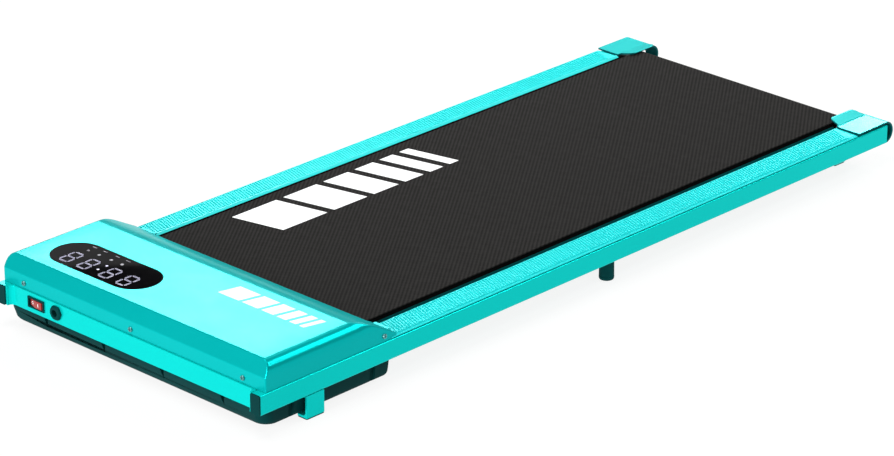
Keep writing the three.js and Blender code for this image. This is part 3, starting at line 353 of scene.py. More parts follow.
class Look:
    """A procedural material while its nodes are being put together."""

    def __init__(self, name, roughness, metallic=0.0, coat=0.0, specular=0.5):
        self.material = bpy.data.materials.new(name)
        self.material.use_nodes = True
        self.tree = self.material.node_tree
        self.shader = self.tree.nodes["Principled BSDF"]
        self.shader.inputs["Roughness"].default_value = roughness
        self.shader.inputs["Metallic"].default_value = metallic
        self.shader.inputs["Coat Weight"].default_value = coat
        self.shader.inputs["Coat Roughness"].default_value = 0.12
        self.shader.inputs["Specular IOR Level"].default_value = specular
        self.place = self.node("ShaderNodeTexCoord").outputs["Object"]

    def node(self, kind, settings=None, **inputs):
        made = self.tree.nodes.new(kind)
        for name, value in (settings or {}).items():
            setattr(made, name, value)
        for name, value in inputs.items():
            self.put(made.inputs[name.replace("_", " ")], value)
        return made

    def put(self, socket, value):
        if isinstance(value, bpy.types.NodeSocket):
            self.tree.links.new(value, socket)
        elif isinstance(value, (tuple, list)) and len(value) == 3 and socket.type == "RGBA":
            socket.default_value = (*value, 1)
        else:
            socket.default_value = value

    def stretched(self, scale, turn=(0, 0, 0)):
        """The object's own coordinates, scaled and turned."""
        moved = self.node("ShaderNodeMapping", Vector=self.place, Scale=scale)
        moved.inputs["Rotation"].default_value = [math.radians(a) for a in turn]
        return moved.outputs[0]

    def noise(self, size, detail=3.0, place=None):
        """Cloudy noise from 0 to 1 whose blotches are this many millimetres across."""
        made = self.node("ShaderNodeTexNoise", Vector=place or self.place,
                         Scale=1 / (size * MM), Detail=detail)
        return made.outputs["Fac"]

    def stripes(self, pitch, axis, turn=0.0):
        """Smooth waves from 0 to 1 that repeat at this pitch."""
        place = self.stretched((1, 1, 1), (0, 0, turn)) if turn else self.place
        cut = {"bands_direction": axis, "wave_profile": "SIN"}
        made = self.node("ShaderNodeTexWave", cut, Vector=place, Scale=math.tau / 20 / (pitch * MM))
        return made.outputs["Fac"]

    def between(self, amount, low, high):
        """Low where amount is 0 and high where it is 1, for numbers."""
        made = self.node("ShaderNodeMapRange", Value=amount)
        made.inputs["To Min"].default_value = low
        made.inputs["To Max"].default_value = high
        return made.outputs["Result"]

    def stepped(self, amount, start, end):
        """0 below start and 1 above end."""
        made = self.node("ShaderNodeMapRange", {"interpolation_type": "SMOOTHSTEP"}, Value=amount)
        made.inputs["From Min"].default_value = start
        made.inputs["From Max"].default_value = end
        return made.outputs["Result"]

    def mixed(self, amount, low, high):
        """One colour turning into another."""
        made = self.node("ShaderNodeMix", {"data_type": "RGBA"})
        self.put(made.inputs["Factor"], amount)
        self.put(made.inputs[6], low)
        self.put(made.inputs[7], high)
        return made.outputs[2]

    def sum(self, first, second, operation="ADD"):
        made = self.node("ShaderNodeMath", {"operation": operation})
        self.put(made.inputs[0], first)
        self.put(made.inputs[1], second)
        return made.outputs[0]

    def colour(self, value):
        self.put(self.shader.inputs["Base Color"], value)
        return self

    def rough(self, value):
        self.put(self.shader.inputs["Roughness"], value)
        return self

    def bump(self, height, depth, strength=1.0):
        """Relief of this depth, in millimetres."""
        made = self.node("ShaderNodeBump", Height=height, Distance=depth * MM, Strength=strength)
        self.put(self.shader.inputs["Normal"], made.outputs[0])
        return self


def grained(name, roughness, tones, blotch, gloss, smudge, grain, depth, **shader):
    """A material of two cloudy tones with uneven gloss and a fine relief of this depth.

    blotch, smudge and grain are the size in millimetres and the detail of the three noises.
    """
    look = Look(name, roughness, **shader)
    look.colour(look.mixed(look.noise(*blotch), *tones))
    look.rough(look.between(look.noise(*smudge), *gloss))
    return look.bump(look.noise(*grain), depth).material


def paint(name, red, green, blue):
    """Turquoise enamel: slightly pearly, with a faint orange-peel surface."""
    tones = (red, green, blue), (red + 0.001, green * 1.07, blue * 1.07)
    return grained(name, 0.25, tones, (160, 2), (0.2, 0.28), (28, 4), (1.6, 1), 0.012,
                   metallic=0.45, specular=0.0)


def strip_plastic():
    look = Look("strip_plastic", 0.42, metallic=0.2, specular=0.1)
    flecks = look.noise(3.5, 4)
    look.colour(look.mixed(flecks, (0.007, 0.61, 0.61), (0.011, 0.69, 0.69)))
    look.rough(look.between(flecks, 0.38, 0.5))
    return look.bump(look.noise(0.7, 2), 0.03).material


def strip_edge():
    """The smooth inner slope of a foot strip, glossier than its ribbed top."""
    return grained("strip_edge", 0.24, ((0.002, 0.58, 0.57), (0.004, 0.64, 0.63)), (12, 3),
                   (0.2, 0.28), (9, 4), (1.2, 2), 0.01, specular=0.5)


def painted_cap_shade():
    """A dark teal copy of the cap paint for the end caps' edges and inner faces: painted shade."""
    return grained("cap_edges_painted_shade", 0.45, ((0.0005, 0.09, 0.094), (0.001, 0.13, 0.134)), (18, 4),
                   (0.38, 0.55), (5, 4), (0.8, 2), 0.02, specular=0.04)


def dark_plastic():
    """Moulded plastic, near-black with a green-blue cast and a fine spark-eroded grain."""
    return grained("dark_plastic", 0.5, ((0.0005, 0.028, 0.028), (0.001, 0.041, 0.041)), (40, 3),
                   (0.42, 0.6), (6, 4), (0.5, 2), 0.03, specular=0.03)


def rubber():
    return grained("black_rubber", 0.75, ((0.0008, 0.042, 0.043), (0.0012, 0.066, 0.067)), (9, 4),
                   (0.65, 0.85), (4, 3), (1.1, 3), 0.06, specular=0.05)


BELT_DIAMOND = 5.2
BELT_TURN = 36.4  # degrees either way from the belt's length


def belt_fabric():
    """Charcoal running belt with a fine diamond relief. Its tone follows the relief, darker in the low parts
    as painted shade, with random wear and dust.
    """
    look = Look("belt_fabric", 0.8, specular=0.05)
    look.place = look.node("ShaderNodeUVMap", {"uv_map": "loop"}).outputs[0]
    first = look.stripes(BELT_DIAMOND, "X", -BELT_TURN)
    second = look.stripes(BELT_DIAMOND, "X", BELT_TURN)
    relief = look.sum(look.sum(first, 0.75, "MULTIPLY"), look.sum(second, 0.25, "MULTIPLY"))
    # The colour follows the relief, so the low parts of the diamonds are darker: a painted shade. The noises
    # add random wear and dust.
    groove_shade_and_wear = look.sum(relief, look.between(look.noise(11, 4), -0.3, 0.3))
    groove_shade_wear_and_dust = look.sum(groove_shade_and_wear, look.between(look.noise(90, 5), -0.07, 0.07))
    tone = look.stepped(groove_shade_wear_and_dust, 0.1, 0.9)
    look.colour(look.mixed(tone, (0.0085, 0.0081, 0.0077), (0.0205, 0.0195, 0.0186)))
    look.rough(look.between(look.noise(15, 4), 0.72, 0.88))
    return look.bump(relief, 0.3).material


def steel(name, bright, dark, roughness, lines):
    """Turned or drawn steel, with fine lines along the given stretch and a little staining."""
    look = Look(name, roughness, metallic=1.0)
    drawn = look.noise(0.6, 2, look.stretched(lines))
    look.colour(look.mixed(look.noise(22, 5), dark, bright))
    look.rough(look.between(drawn, roughness * 0.75, roughness * 1.3))
    return look.bump(drawn, 0.01).material


def deck_wood():
    """Fibreboard with a fibre grain. Its broad faces are near-black as painted shadow in the gap beside the
    belt, and its edges are dark teal as painted shade.
    """
    look = Look("deck_board", 0.6, specular=0.0)
    facing = look.node("ShaderNodeNewGeometry").outputs["True Normal"]
    upward = look.node("ShaderNodeSeparateXYZ", Vector=facing).outputs["Z"]
    # Faces pointing up or down get the black painted shadow. Upright edges get the dark teal painted shade.
    shadow_faces = look.stepped(look.sum(upward, 0.0, "ABSOLUTE"), 0.3, 0.6)
    fibres = look.noise(1.6, 5, look.stretched((1, 0.35, 1)))
    shaded_edge_tone = look.mixed(fibres, (0.001, 0.05, 0.052), (0.002, 0.11, 0.112))
    black = look.mixed(look.noise(5, 4), (0.0008, 0.001, 0.001), (0.0025, 0.0026, 0.0026))
    look.colour(look.mixed(shadow_faces, shaded_edge_tone, black))
    look.rough(look.between(shadow_faces, 0.85, 0.6))
    return look.bump(fibres, 0.08).material


def display_glass():
    """Smoked glass, almost black, with a trace of dust."""
    return grained("display_glass", 0.03, ((0.0008, 0.0008, 0.001), (0.003, 0.003, 0.0035)), (30, 4),
                   (0.015, 0.035), (50, 3), (25, 1), 0.004, specular=0.008)


def glowing(name, low, high, strength):
    """Lit segments behind the glass, brighter and dimmer in cloudy patches."""
    look = Look(name, 0.4)
    light = look.mixed(look.noise(7, 2), low, high)
    look.colour(light)
    look.put(look.shader.inputs["Emission Color"], light)
    look.shader.inputs["Emission Strength"].default_value = strength
    return look.material


def circuit_board():
    """Green card with darker parts standing on it and bright solder between."""
    look = Look("circuit_board", 0.4)
    cells = look.node("ShaderNodeTexVoronoi", {"distance": "CHEBYCHEV"}, Vector=look.place, Scale=140.0)
    card = look.mixed(look.noise(12, 4), (0.0, 0.07, 0.025), (0.005, 0.15, 0.05))
    pads = look.stepped(cells.outputs["Distance"], 0.0, 0.12)
    look.colour(look.mixed(pads, (0.5, 0.48, 0.4), card))
    look.rough(look.between(pads, 0.25, 0.5))
    return look.bump(cells.outputs["Distance"], 0.3).material


def red_plastic():
    return grained("red_plastic", 0.3, ((0.2, 0.006, 0.004), (0.33, 0.014, 0.01)), (5, 2),
                   (0.24, 0.36), (3, 3), (0.6, 2), 0.015, coat=0.3)


def white_print(name, wear):
    """White ink, a little thin in places."""
    look = Look(name, 0.5, specular=0.3)
    thin = look.stepped(look.noise(1.2, 5), 0.3 - wear, 0.45)
    look.colour(look.mixed(thin, (0.72, 0.75, 0.75), (0.93, 0.95, 0.95)))
    look.rough(look.between(look.noise(6, 3), 0.42, 0.6))
    return look.bump(look.noise(0.8, 2), 0.03).material


PAINT = paint("turquoise_paint", 0.001, 0.58, 0.54)
# The hood gets a darker copy of the same turquoise paint. It is painted shade, seen mostly on the hood's
# sides.
SHADED_HOOD_PAINT = paint("hood_paint_darkened_as_shade", 0.001, 0.43, 0.425)
# The caps get a paler, redder copy of the same paint. It is a painted sheen, on top of the cap_sheen lamp.
SHEEN_CAP_PAINT = paint("cap_paint_paled_as_sheen", 0.03, 0.60, 0.59)
STRIP = strip_plastic()
STRIP_EDGE = strip_edge()
CAP_SHADE_TEAL = painted_cap_shade()
PLASTIC = dark_plastic()
RUBBER = rubber()
BELT = belt_fabric()
BRIGHT = steel("bright_steel", (0.72, 0.72, 0.72), (0.6, 0.6, 0.59), 0.26, (0.05, 1, 1))
DARK = steel("dark_steel", (0.17, 0.17, 0.17), (0.09, 0.09, 0.085), 0.4, (0.05, 1, 1))
ALUMINIUM = steel("bare_aluminium", (0.66, 0.67, 0.68), (0.55, 0.56, 0.57), 0.36, (1, 0.04, 1))
WOOD = deck_wood()
GLASS = display_glass()
BOARD = circuit_board()
RED = red_plastic()
PRINT = white_print("white_print", 0.05)
LIT = glowing("lit_segments", (0.45, 0.43, 0.66), (0.72, 0.70, 0.92), 0.3)
DIM = glowing("dim_icons", (0.10, 0.10, 0.12), (0.16, 0.16, 0.2), 0.05)
# The screw steel is tinted teal, a painted reflection of the turquoise paint around it.
SCREW = steel("zinc_tinted_as_teal_reflection", (0.20, 0.46, 0.46), (0.09, 0.3, 0.3), 0.3, (0.05, 1, 1))

SLOT_LOOKS = {
    "turquoise_paint": PAINT, "strip_plastic": STRIP, "black_plastic": PLASTIC, "black_rubber": RUBBER,
    "belt_fabric": BELT, "bright_steel": BRIGHT, "dark_steel": DARK, "bare_aluminium": ALUMINIUM,
    "deck_wood": WOOD, "display_glass": GLASS, "circuit_board": BOARD, "red_plastic": RED,
}

PLAIN_ROUNDING = 0.4
ROUNDING = {
    "left_side_rail": 0.9, "right_side_rail": 0.9, "switch_rocker": 0.6, "switch_housing": 0.5,
    "cord_gland": 0.5, "display_board": 0.2, "control_board": 0.2, "heat_sink": 0.15, "drive_belt": 0.3,
}


def dress_cad_nodes():
    for node, made in frame["nodes"].items():
        for holder in made.material_slots:
            holder.material = SLOT_LOOKS[holder.material.name]
        shade_cad(node, ROUNDING.get(node, PLAIN_ROUNDING))


dress_cad_nodes()


# ---- motor hood

HOOD_LOW, HOOD_HIGH = span("motor_hood")
HOOD_HALF = HOOD_HIGH.x
HOOD_BOTTOM = HOOD_LOW.z
HOOD_TOP = HOOD_HIGH.z
HOOD_WALL = 2.0
HOOD_START = HOOD_LOW.y - FRONT
HOOD_END = 243.0
HOOD_SHOULDER = HOOD_TOP - 18  # the sides are upright below this height
HOOD_STRIP_TOP = HOOD_TOP - 21.3  # and so is the front below this one
HOOD_KNEE = (209.0, HOOD_TOP - 15)  # the straight slope down to the belt starts here
HOOD_SLOPE = 0.553
HOOD_CREASE = 1.9  # width of the rounding where the front and the slope meet the sides
HOOD_ROWS = 8
HOOD_COLUMNS = 12
HOOD_CREASE_FADE = (2.4, 18.9)  # the rounding fades out over this height at the top and at the bottom
BELT_SIDE = 203.0  # half the width of the rear edge that hangs over the moving belt
LIP_OVER_BELT = 70.4
LIP_OVER_STRIPS = 66.1
WINDOW_FLANGE = 7.0  # how much longer and wider the window is under the hood than in its opening
WINDOW_GAP = 0.7
HOOD_SCREWS = ("front_left", "front_centre", "front_right", "side_left", "side_right")
HOOD_SCREW_HOLE = 2.5


def hood_side_outline(inset):
    """Half the hood's outline from the front: (half width, height), from the bottom to the top."""
    half = HOOD_HALF - inset
    top = HOOD_TOP - inset
    shoulder = HOOD_SHOULDER
    edge = bezier([(half, shoulder), (half, shoulder + 11), (half - 6, top - 1.5), (half - 13.5, top)], 14)
    return [(half, HOOD_BOTTOM)] + edge


def hood_profile(inset):
    """The hood's outline from the side, above its front strip: (distance, height)."""
    top = HOOD_TOP - inset
    start = (HOOD_START + inset, HOOD_STRIP_TOP + inset * 0.2)
    brow = (21.4 + inset * 0.8, top - 2.4)
    knee_at, knee_top = HOOD_KNEE
    knee = (knee_at, knee_top - inset * math.hypot(1, HOOD_SLOPE))
    front_edge = 24.5 + inset * 0.7
    tail = [(at, knee[1] - (at - knee_at) * HOOD_SLOPE) for at in (220, 231, HOOD_END)]
    return (bezier([start, brow], 4)[:-1]
            + bezier([brow, (22.2 + inset * 0.7, top), (front_edge, top)], 5)
            + [(front_edge + (166 - front_edge) * i / 4, top) for i in range(1, 4)]
            + bezier([(166, top), (184.5 - inset * 0.3, top - 1.5), knee], 14)
            + tail)


def clipped(outline, height):
    """The part of a rising outline that lies below a height."""
    kept = [outline[0]]
    for (u0, v0), (u1, v1) in zip(outline, outline[1:]):
        if v1 >= height - 1e-6:
            share = (height - v0) / (v1 - v0) if v1 > v0 else 0
            kept.append((u0 + (u1 - u0) * share, height))
            return kept
        kept.append((u1, v1))
    return kept


def hood_grids(inset):
    """Rows of points for the front strip, the top and the two sides."""
    outline = hood_side_outline(inset)
    columns = [resampled(clipped(outline, height), HOOD_ROWS) for _, height in hood_profile(inset)]
    shares = [i * 2 / HOOD_COLUMNS - 1 for i in range(HOOD_COLUMNS + 1)]
    start = along(hood_profile(inset)[0][0])
    strip = [[(half * share, start, height) for share in shares] for half, height in columns[0]]
    top = []
    for (distance, _), column in zip(hood_profile(inset), columns):
        half, height = column[-1]
        top.append([(half * share, along(distance), height) for share in shares])
    sides = []
    for side in (1, -1):
        sides.append([[(side * half, along(distance), height) for half, height in column]
                      for (distance, _), column in zip(hood_profile(inset), columns)])
    return [strip, top, *sides]


def mark_creases(mesh):
    """Bevel weights along the lines where the hood's front and top meet its sides."""
    outline = hood_side_outline(0)
    upper_fade, lower_fade = HOOD_CREASE_FADE
    creases = {}
    for distance, height in hood_profile(0):
        half = clipped(outline, height)[-1][0]
        fade = min(1, (HOOD_TOP - height) / upper_fade, (height - HOOD_BOTTOM) / lower_fade)
        creases[(round(half, 2), round(along(distance), 2), round(height, 2))] = fade
    strip_step = (HOOD_STRIP_TOP - HOOD_BOTTOM) / HOOD_ROWS
    for i in range(HOOD_ROWS + 1):
        height = HOOD_BOTTOM + strip_step * i
        creases[(round(HOOD_HALF, 2), round(along(HOOD_START), 2), round(height, 2))] = 1
    weights = mesh.attributes.new("bevel_weight_edge", "FLOAT", "EDGE")
    front_brow = (round(along(HOOD_START), 2), round(HOOD_STRIP_TOP, 2))
    for edge in mesh.edges:
        ends = [mesh.vertices[i].co / MM for i in edge.vertices]
        keys = [(round(abs(p.x), 2), round(p.y, 2), round(p.z, 2)) for p in ends]
        if all(key in creases for key in keys) and ends[0].x * ends[1].x > 0:
            weights.data[edge.index].value = min(creases[key] for key in keys)
        elif all(key[1:] == front_brow for key in keys):
            weights.data[edge.index].value = 0.5


def lip_cut(low_x, high_x, height):
    """A tool that trims the hood's rear edge square to its slope, this high above the floor."""
    wall = HOOD_WALL * math.hypot(1, HOOD_SLOPE)
    distance = HOOD_KNEE[0] + (HOOD_KNEE[1] - wall - height) / HOOD_SLOPE
    down = Vector((1, -HOOD_SLOPE)).normalized()
    out = Vector((HOOD_SLOPE, 1)).normalized()
    start = Vector((distance, height))
    half, reach = out * 12, down * 40
    corners = [start - half, start + half, start + half + reach, start - half + reach]
    outline = [(along(c.x), c.y) for c in corners]
    return prism_object(outline, "x", *sorted((low_x, high_x)))


TAB = {"inner": 207, "outer": 233, "start": 237.5, "end": 246, "low": 66.0, "thick": 1.6}


def make_hood():
    bm = bmesh.new()
    add_shell(bm, list(zip(hood_grids(0), hood_grids(HOOD_WALL))))
    hood = as_object("hood_shell", bm)
    mark_creases(hood.data)
    step = hood.modifiers.new("creases", "BEVEL")
    step.limit_method = "WEIGHT"
    step.width = HOOD_CREASE * MM
    step.segments = 4
    step.use_clamp_overlap = False
    applied(hood)
    window = centre("display_window")
    low, high = span("display_window")
    hole = stadium(window.x, window.y, high.x - low.x - WINDOW_FLANGE + WINDOW_GAP,
                   high.y - low.y - WINDOW_FLANGE + WINDOW_GAP)
    tools = [prism_object(hole, "z", HOOD_TOP - 6, HOOD_TOP + 2)]
    tools.append(lip_cut(-BELT_SIDE, BELT_SIDE, LIP_OVER_BELT))
    tools += [lip_cut(side * BELT_SIDE, side * (HOOD_HALF - 4), LIP_OVER_STRIPS) for _, side in SIDES]
    for screw in HOOD_SCREWS:
        place = centre("hood_screw_" + screw)
        bm = bmesh.new()
        axis = "y" if "front" in screw else "x"
        bore = [(-8, 0), (-8, HOOD_SCREW_HOLE), (8, HOOD_SCREW_HOLE), (8, 0)]
        add_turned(bm, bore, axis, place, 24)
        tools.append(as_object("tool", bm))
    combined(hood, "DIFFERENCE", *tools)
    tabs = [box_object(side * TAB["inner"], side * TAB["outer"], along(TAB["start"]), along(TAB["end"]),
                       TAB["low"], TAB["low"] + TAB["thick"]) for _, side in SIDES]
    combined(hood, "UNION", *tabs)
    finished(hood, [SHADED_HOOD_PAINT], "frame", ["motor_hood"], bevel=0.35, angle=48)


make_hood()


# ---- screws


def make_screw(name):
    low, high = span(name)
    middle = (low + high) / 2
    radius = (high.z - low.z) / 2
    front = "front" in name
    axis = "y" if front else "x"
    outward = -1 if front or middle.x < 0 else 1
    ends = (low.y, high.y) if front else (low.x, high.x)
    face = ends[0] if outward < 0 else ends[1]
    rise, shank, tip = 1.9, 2.0, 9.8
    head = [(0.0, radius * 0.35), (0.05, radius * 0.6), (0.35, radius * 0.86),
            (0.9, radius * 0.97), (rise, radius)]
    body = [(0.0, 0.0), *head, (rise, shank), (9.5, shank), (tip, 1.4), (tip, 0.0)]
    profile = [(-outward * depth, r) for depth, r in body]
    place = (middle.x, face, middle.z) if front else (face, middle.y, middle.z)
    bm = bmesh.new()
    add_turned(bm, profile, axis, place, 32)
    screw = as_object(name + "_head", bm)
    arm, slot, depth = radius * 0.55, 0.42, 1.0
    tools = []
    for u, v in ((arm, slot), (slot, arm)):
        cross = [(-u, -v), (u, -v), (u, v), (-u, v)]
        reach = sorted((face + outward, face - outward * depth))
        across = place[0] if front else place[1]
        outline = [(across + a, place[2] + b) for a, b in cross]
        tools.append(prism_object(outline, axis, *reach))
    combined(screw, "DIFFERENCE", *tools)
    finished(screw, [SCREW], "frame", [name], bevel=0.12)


for screw_name in [n for n in sorted(frame["nodes"]) if n.startswith("hood_screw")]:
    make_screw(screw_name)


# ---- foot strips

RIB_PITCH = 4.8
RIB_HEIGHT = 1.1
RIB_STEPS = ((0.0, 0), (1.3, 0), (2.3, 1), (3.8, 1))  # place in the pitch, and whether it is raised
RIB_SLANT = -0.33  # how far a rib runs along the machine for each millimetre across it
RIB_MARGIN = 8.5
STRIP_SLOPE = 5.0  # width of the smooth slope down to the belt
RAIL_HEIGHT = 27.5  # of the side rail's tube, without its upstand


def strip_section(side, node):
    """Section of a foot strip across the machine, and how far the ribs lift each of its points."""
    low, high = span(node)
    inner, outer = (low.x, high.x) if side > 0 else (-high.x, -low.x)
    top, skirt = high.z, low.z
    seat = span("left_side_rail")[0].z + RAIL_HEIGHT + 0.3
    wall = 1.8
    points = [
        (inner, skirt, 0), (inner + wall, skirt, 0), (inner + wall, top - 4.4, 0),
        (outer - 20.2, top - 4.8, 0), (outer - 20.2, seat - 1.4, 0), (outer - 18.2, seat - 1.4, 0),
        (outer - 18.2, seat, 0), (outer - 3.4, seat, 0), (outer - 3.4, seat + 1.1, 0),
        (outer - 0.2, seat + 1.1, 0), (outer, seat + 1.4, 0), (outer, top - 2.4, 0),
        (outer - 0.4, top - 2.0, 0), (outer - 1.2, top - 1.8, 0), (outer - 2.4, top - 1.75, 0),
        (outer - 3.2, top - 1.4, 0), (outer - 4.0, top - 1.35, 1), ((inner + outer) / 2, top - 1.0, 1),
        (inner + 7.0, top - 0.72, 1),
        (inner + 6.2, top - 0.1, 0), (inner + STRIP_SLOPE, top, 0),
        (inner + STRIP_SLOPE - 0.8, top - 0.2, 0), (inner + 0.9, top - 2.0, 0), (inner, top - 2.9, 0),
    ]
    return [(side * x, z, lift) for x, z, lift in points]


def make_strip(word, side):
    node = word + "_foot_strip"
    low, high = span(node)
    middle = (low.x + high.x) / 2
    section = strip_section(side, node)
    stations = [(low.y, 0, 0), (low.y + 2.5, 0, 0)]
    start = low.y + RIB_MARGIN
    while start + RIB_PITCH < high.y - RIB_MARGIN:
        stations += [(start + step, raised, 1) for step, raised in RIB_STEPS]
        start += RIB_PITCH
    stations += [(high.y - 2.5, 0, 0), (high.y, 0, 0)]
    rings = [[(x, y + slanted * lift * RIB_SLANT * (x - middle), z + lift * raised * RIB_HEIGHT)
              for x, z, lift in section] for y, raised, slanted in stations]
    bm = bmesh.new()
    add_loft(bm, rings)
    strip = as_object(word + "_strip_cover", bm)
    crest = high.z - 3.0
    for face in strip.data.polygons:
        place = face.center / MM
        reach = abs(place.x) - abs(low.x if side > 0 else high.x)
        face.material_index = 1 if 0 < reach < STRIP_SLOPE - 0.3 and place.z > crest else 0
    finished(strip, [STRIP, STRIP_EDGE], "frame", [node])


for word, side in SIDES:
    make_strip(word, side)


# ---- rear caps

CAP_SHEET = 2.5
CAP_WRAP_INNER = 198.0  # the part that curls down behind the rail and the belt's edge
CAP_FOLD = 211.0  # the plate is folded here, and its lobe rises over the belt's edge
CAP_LOBE_INNER = 188.0
CAP_LOBE_RISE = 4.7
CAP_LOBE_SHEET = 1.8
KEY_HOLE = (226.0, 5.0)


def cap_outline(start, top, low):
    """Side view of the cap: a flat plate that curls down round the end of the machine."""
    radius = (top - low) / 2
    bend = CAD_BOX[1].y / MM - radius
    middle = low + radius
    outer = [(start, top)] + arc(bend, middle, radius, 90, -90, 28)
    inner = arc(bend, middle, radius - CAP_SHEET, -90, 90, 28) + [(start, top - CAP_SHEET)]
    return outer + inner, bend, middle


def lobe_band(side, top):
    """Section of the lobe: a low step at the fold, then a gentle rise to a rounded nose."""
    high = top + CAP_LOBE_RISE
    edge = CAP_LOBE_INNER
    fold = bezier([(CAP_FOLD + 0.5, top), (CAP_FOLD - 0.2, top), (CAP_FOLD - 0.9, top + 0.75),
                   (CAP_FOLD - 1.8, top + 0.9)], 6)
    nose = bezier([(edge + 3, high - 0.32), (edge + 1.2, high), (edge, high), (edge, high - 1.0)], 6)
    under = [(edge, high - CAP_LOBE_SHEET), (CAP_FOLD, top - CAP_LOBE_SHEET), (CAP_FOLD, top - CAP_SHEET)]
    section = [(CAP_FOLD + 3, top)] + fold + nose + under + [(CAP_FOLD + 3, top - CAP_SHEET)]
    return [(side * u, v) for u, v in section]


def lobe_plan(side, start, back):
    """Plan of the lobe: round corners, set back from the plate's front edge, and a notch at the fold."""
    edge = CAP_LOBE_INNER
    root = CAP_FOLD + 4
    plan = [(root, start), (root, back)]
    plan += bezier([(edge + 12, back), (edge, back), (edge, back - 12)], 10)
    plan += bezier([(edge, start + 18), (edge, start + 9), (edge + 9, start + 7)], 10)
    plan += [(CAP_FOLD - 3, start + 5), (CAP_FOLD - 1.5, start)]
    return [(side * u, v) for u, v in plan]


def make_cap(word, side):
    node = word + "_rear_cap"
    low, high = span(node)
    start = low.y
    top = high.z - CAP_LOBE_RISE
    outline, bend, middle = cap_outline(start, top, low.z)
    outer_x = HOOD_HALF + 2
    cap = prism_object(outline, "x", *sorted((side * CAP_WRAP_INNER, side * outer_x)))
    cap.name = word + "_end_cap"
    rail_low, rail_high = span(word + "_side_rail")
    rail_top = rail_low.z + RAIL_HEIGHT
    bm = bmesh.new()
    add_turned(bm, [(bend, 0), (bend, KEY_HOLE[1]), (bend + 30, KEY_HOLE[1]), (bend + 30, 0)], "y",
               (side * KEY_HOLE[0], 0, centre("rear_roller").z), 32)
    key_hole = as_object("tool", bm)
    rail_room = box_object(side * (CAP_WRAP_INNER - 1), side * (outer_x + 1), start - 1, rail_high.y + 0.3,
                           low.z - 1, rail_top + 0.3)
    lobe_room = box_object(side * (CAP_WRAP_INNER - 1), side * CAP_FOLD, start - 1, bend - 1,
                           top - CAP_SHEET - 1, top + 1)
    combined(cap, "DIFFERENCE", rail_room, key_hole, lobe_room)
    lobe = prism_object(lobe_band(side, top), "y", start - 1, bend)
    combined(lobe, "INTERSECT", prism_object(lobe_plan(side, start, bend - 1), "z", top - 6, high.z + 1))
    combined(cap, "UNION", lobe)
    cap.data.materials.append(SHEEN_CAP_PAINT)
    cap.data.materials.append(CAP_SHADE_TEAL)
    # Faces that point outward keep the paint. The inner and side faces get the dark teal painted shade.
    for face in cap.data.polygons:
        place = face.center / MM
        outward = Vector((0, place.y - bend, place.z - middle)).normalized()
        if place.y < bend:
            outward = Vector((0, 0, 1))
        face.material_index = 0 if face.normal.dot(outward) > 0.35 else 1
    finished(cap, [], "frame", [node], bevel=0.45, angle=50)


for word, side in SIDES:
    make_cap(word, side)


# ---- running belt

BELT_THICK = 1.8
BELT_STEPS = 24  # along each straight run, and round each roller


def make_belt():
    low, high = span("running_belt")
    radius = (high.z - low.z) / 2
    middle = (high.z + low.z) / 2
    front, rear = low.y + radius, high.y - radius
    half = high.x

    def loop(r):
        path = [(front + (rear - front) * i / BELT_STEPS, middle + r) for i in range(BELT_STEPS)]
        path += arc(rear, middle, r, 90, -90, BELT_STEPS)
        path += [(rear + (front - rear) * i / BELT_STEPS, middle - r) for i in range(1, BELT_STEPS)]
        return path + arc(front, middle, r, 270, 90, BELT_STEPS)[:-1]

    edge = 0.5
    inner = radius - BELT_THICK
    section = [(-half, inner), (-half, radius - edge), (edge - half, radius), (-half / 2, radius),
               (0, radius), (half / 2, radius), (half - edge, radius), (half, radius - edge), (half, inner)]
    loops = [[(x, u, v) for u, v in loop(r)] for x, r in section]
    reach = [0.0]
    for (_, u0, v0), (_, u1, v1) in zip(loops[4], loops[4][1:] + loops[4][:1]):
        reach.append(reach[-1] + math.hypot(u1 - u0, v1 - v0))
    n = len(loops[0])
    rows = len(loops)
    bm = bmesh.new()
    corners = [[bm.verts.new(Vector(p) * MM) for p in row] for row in loops]
    uv = bm.loops.layers.uv.new("loop")
    for k in range(rows):
        following = (k + 1) % rows
        for i in range(n):
            j = (i + 1) % n
            face = bm.faces.new((corners[k][i], corners[k][j], corners[following][j], corners[following][i]))
            for corner, x, s in zip(face.loops, (k, k, following, following), (i, i + 1, i + 1, i)):
                corner[uv].uv = (section[x][0] * MM, reach[s] * MM)
    belt = as_object("walking_belt", bm)
    finished(belt, [BELT], "frame", ["running_belt"])


make_belt()


# ---- printed bars

BAR_WIDTHS = (84, 64, 48, 36, 26, 18)
BAR_GAP = 14
BAR_SLANT = 18


def bar_outlines(length, height):
    """Slanted bars that get narrower, filling a strip of this length and height from its corner."""
    full = sum(BAR_WIDTHS) + BAR_GAP * (len(BAR_WIDTHS) - 1) + BAR_SLANT
    scale = length / full
    place = 0.0
    bars = []
    for width in BAR_WIDTHS:
        bars.append([(place * scale, 0), ((place + width) * scale, 0),
                     ((place + width + BAR_SLANT) * scale, height), ((place + BAR_SLANT) * scale, height)])
        place += width + BAR_GAP
    return bars


def make_bars(name, corner, length, height, lengthways, surface):
    bm = bmesh.new()
    for bar in bar_outlines(length, height):
        outline = [(corner[0] + v, corner[1] + u) if lengthways else (corner[0] + u, corner[1] + v)
                   for u, v in bar]
        add_prism(bm, outline, "z", surface - 0.3, surface + 0.08)
    finished(as_object(name, bm), [PRINT], "frame")


make_bars("belt_print", (-174, along(354)), 360, 82, True, span("running_belt")[1].z)
make_bars("hood_print", (49, along(120)), 165, 32, False, HOOD_TOP)


# ---- display

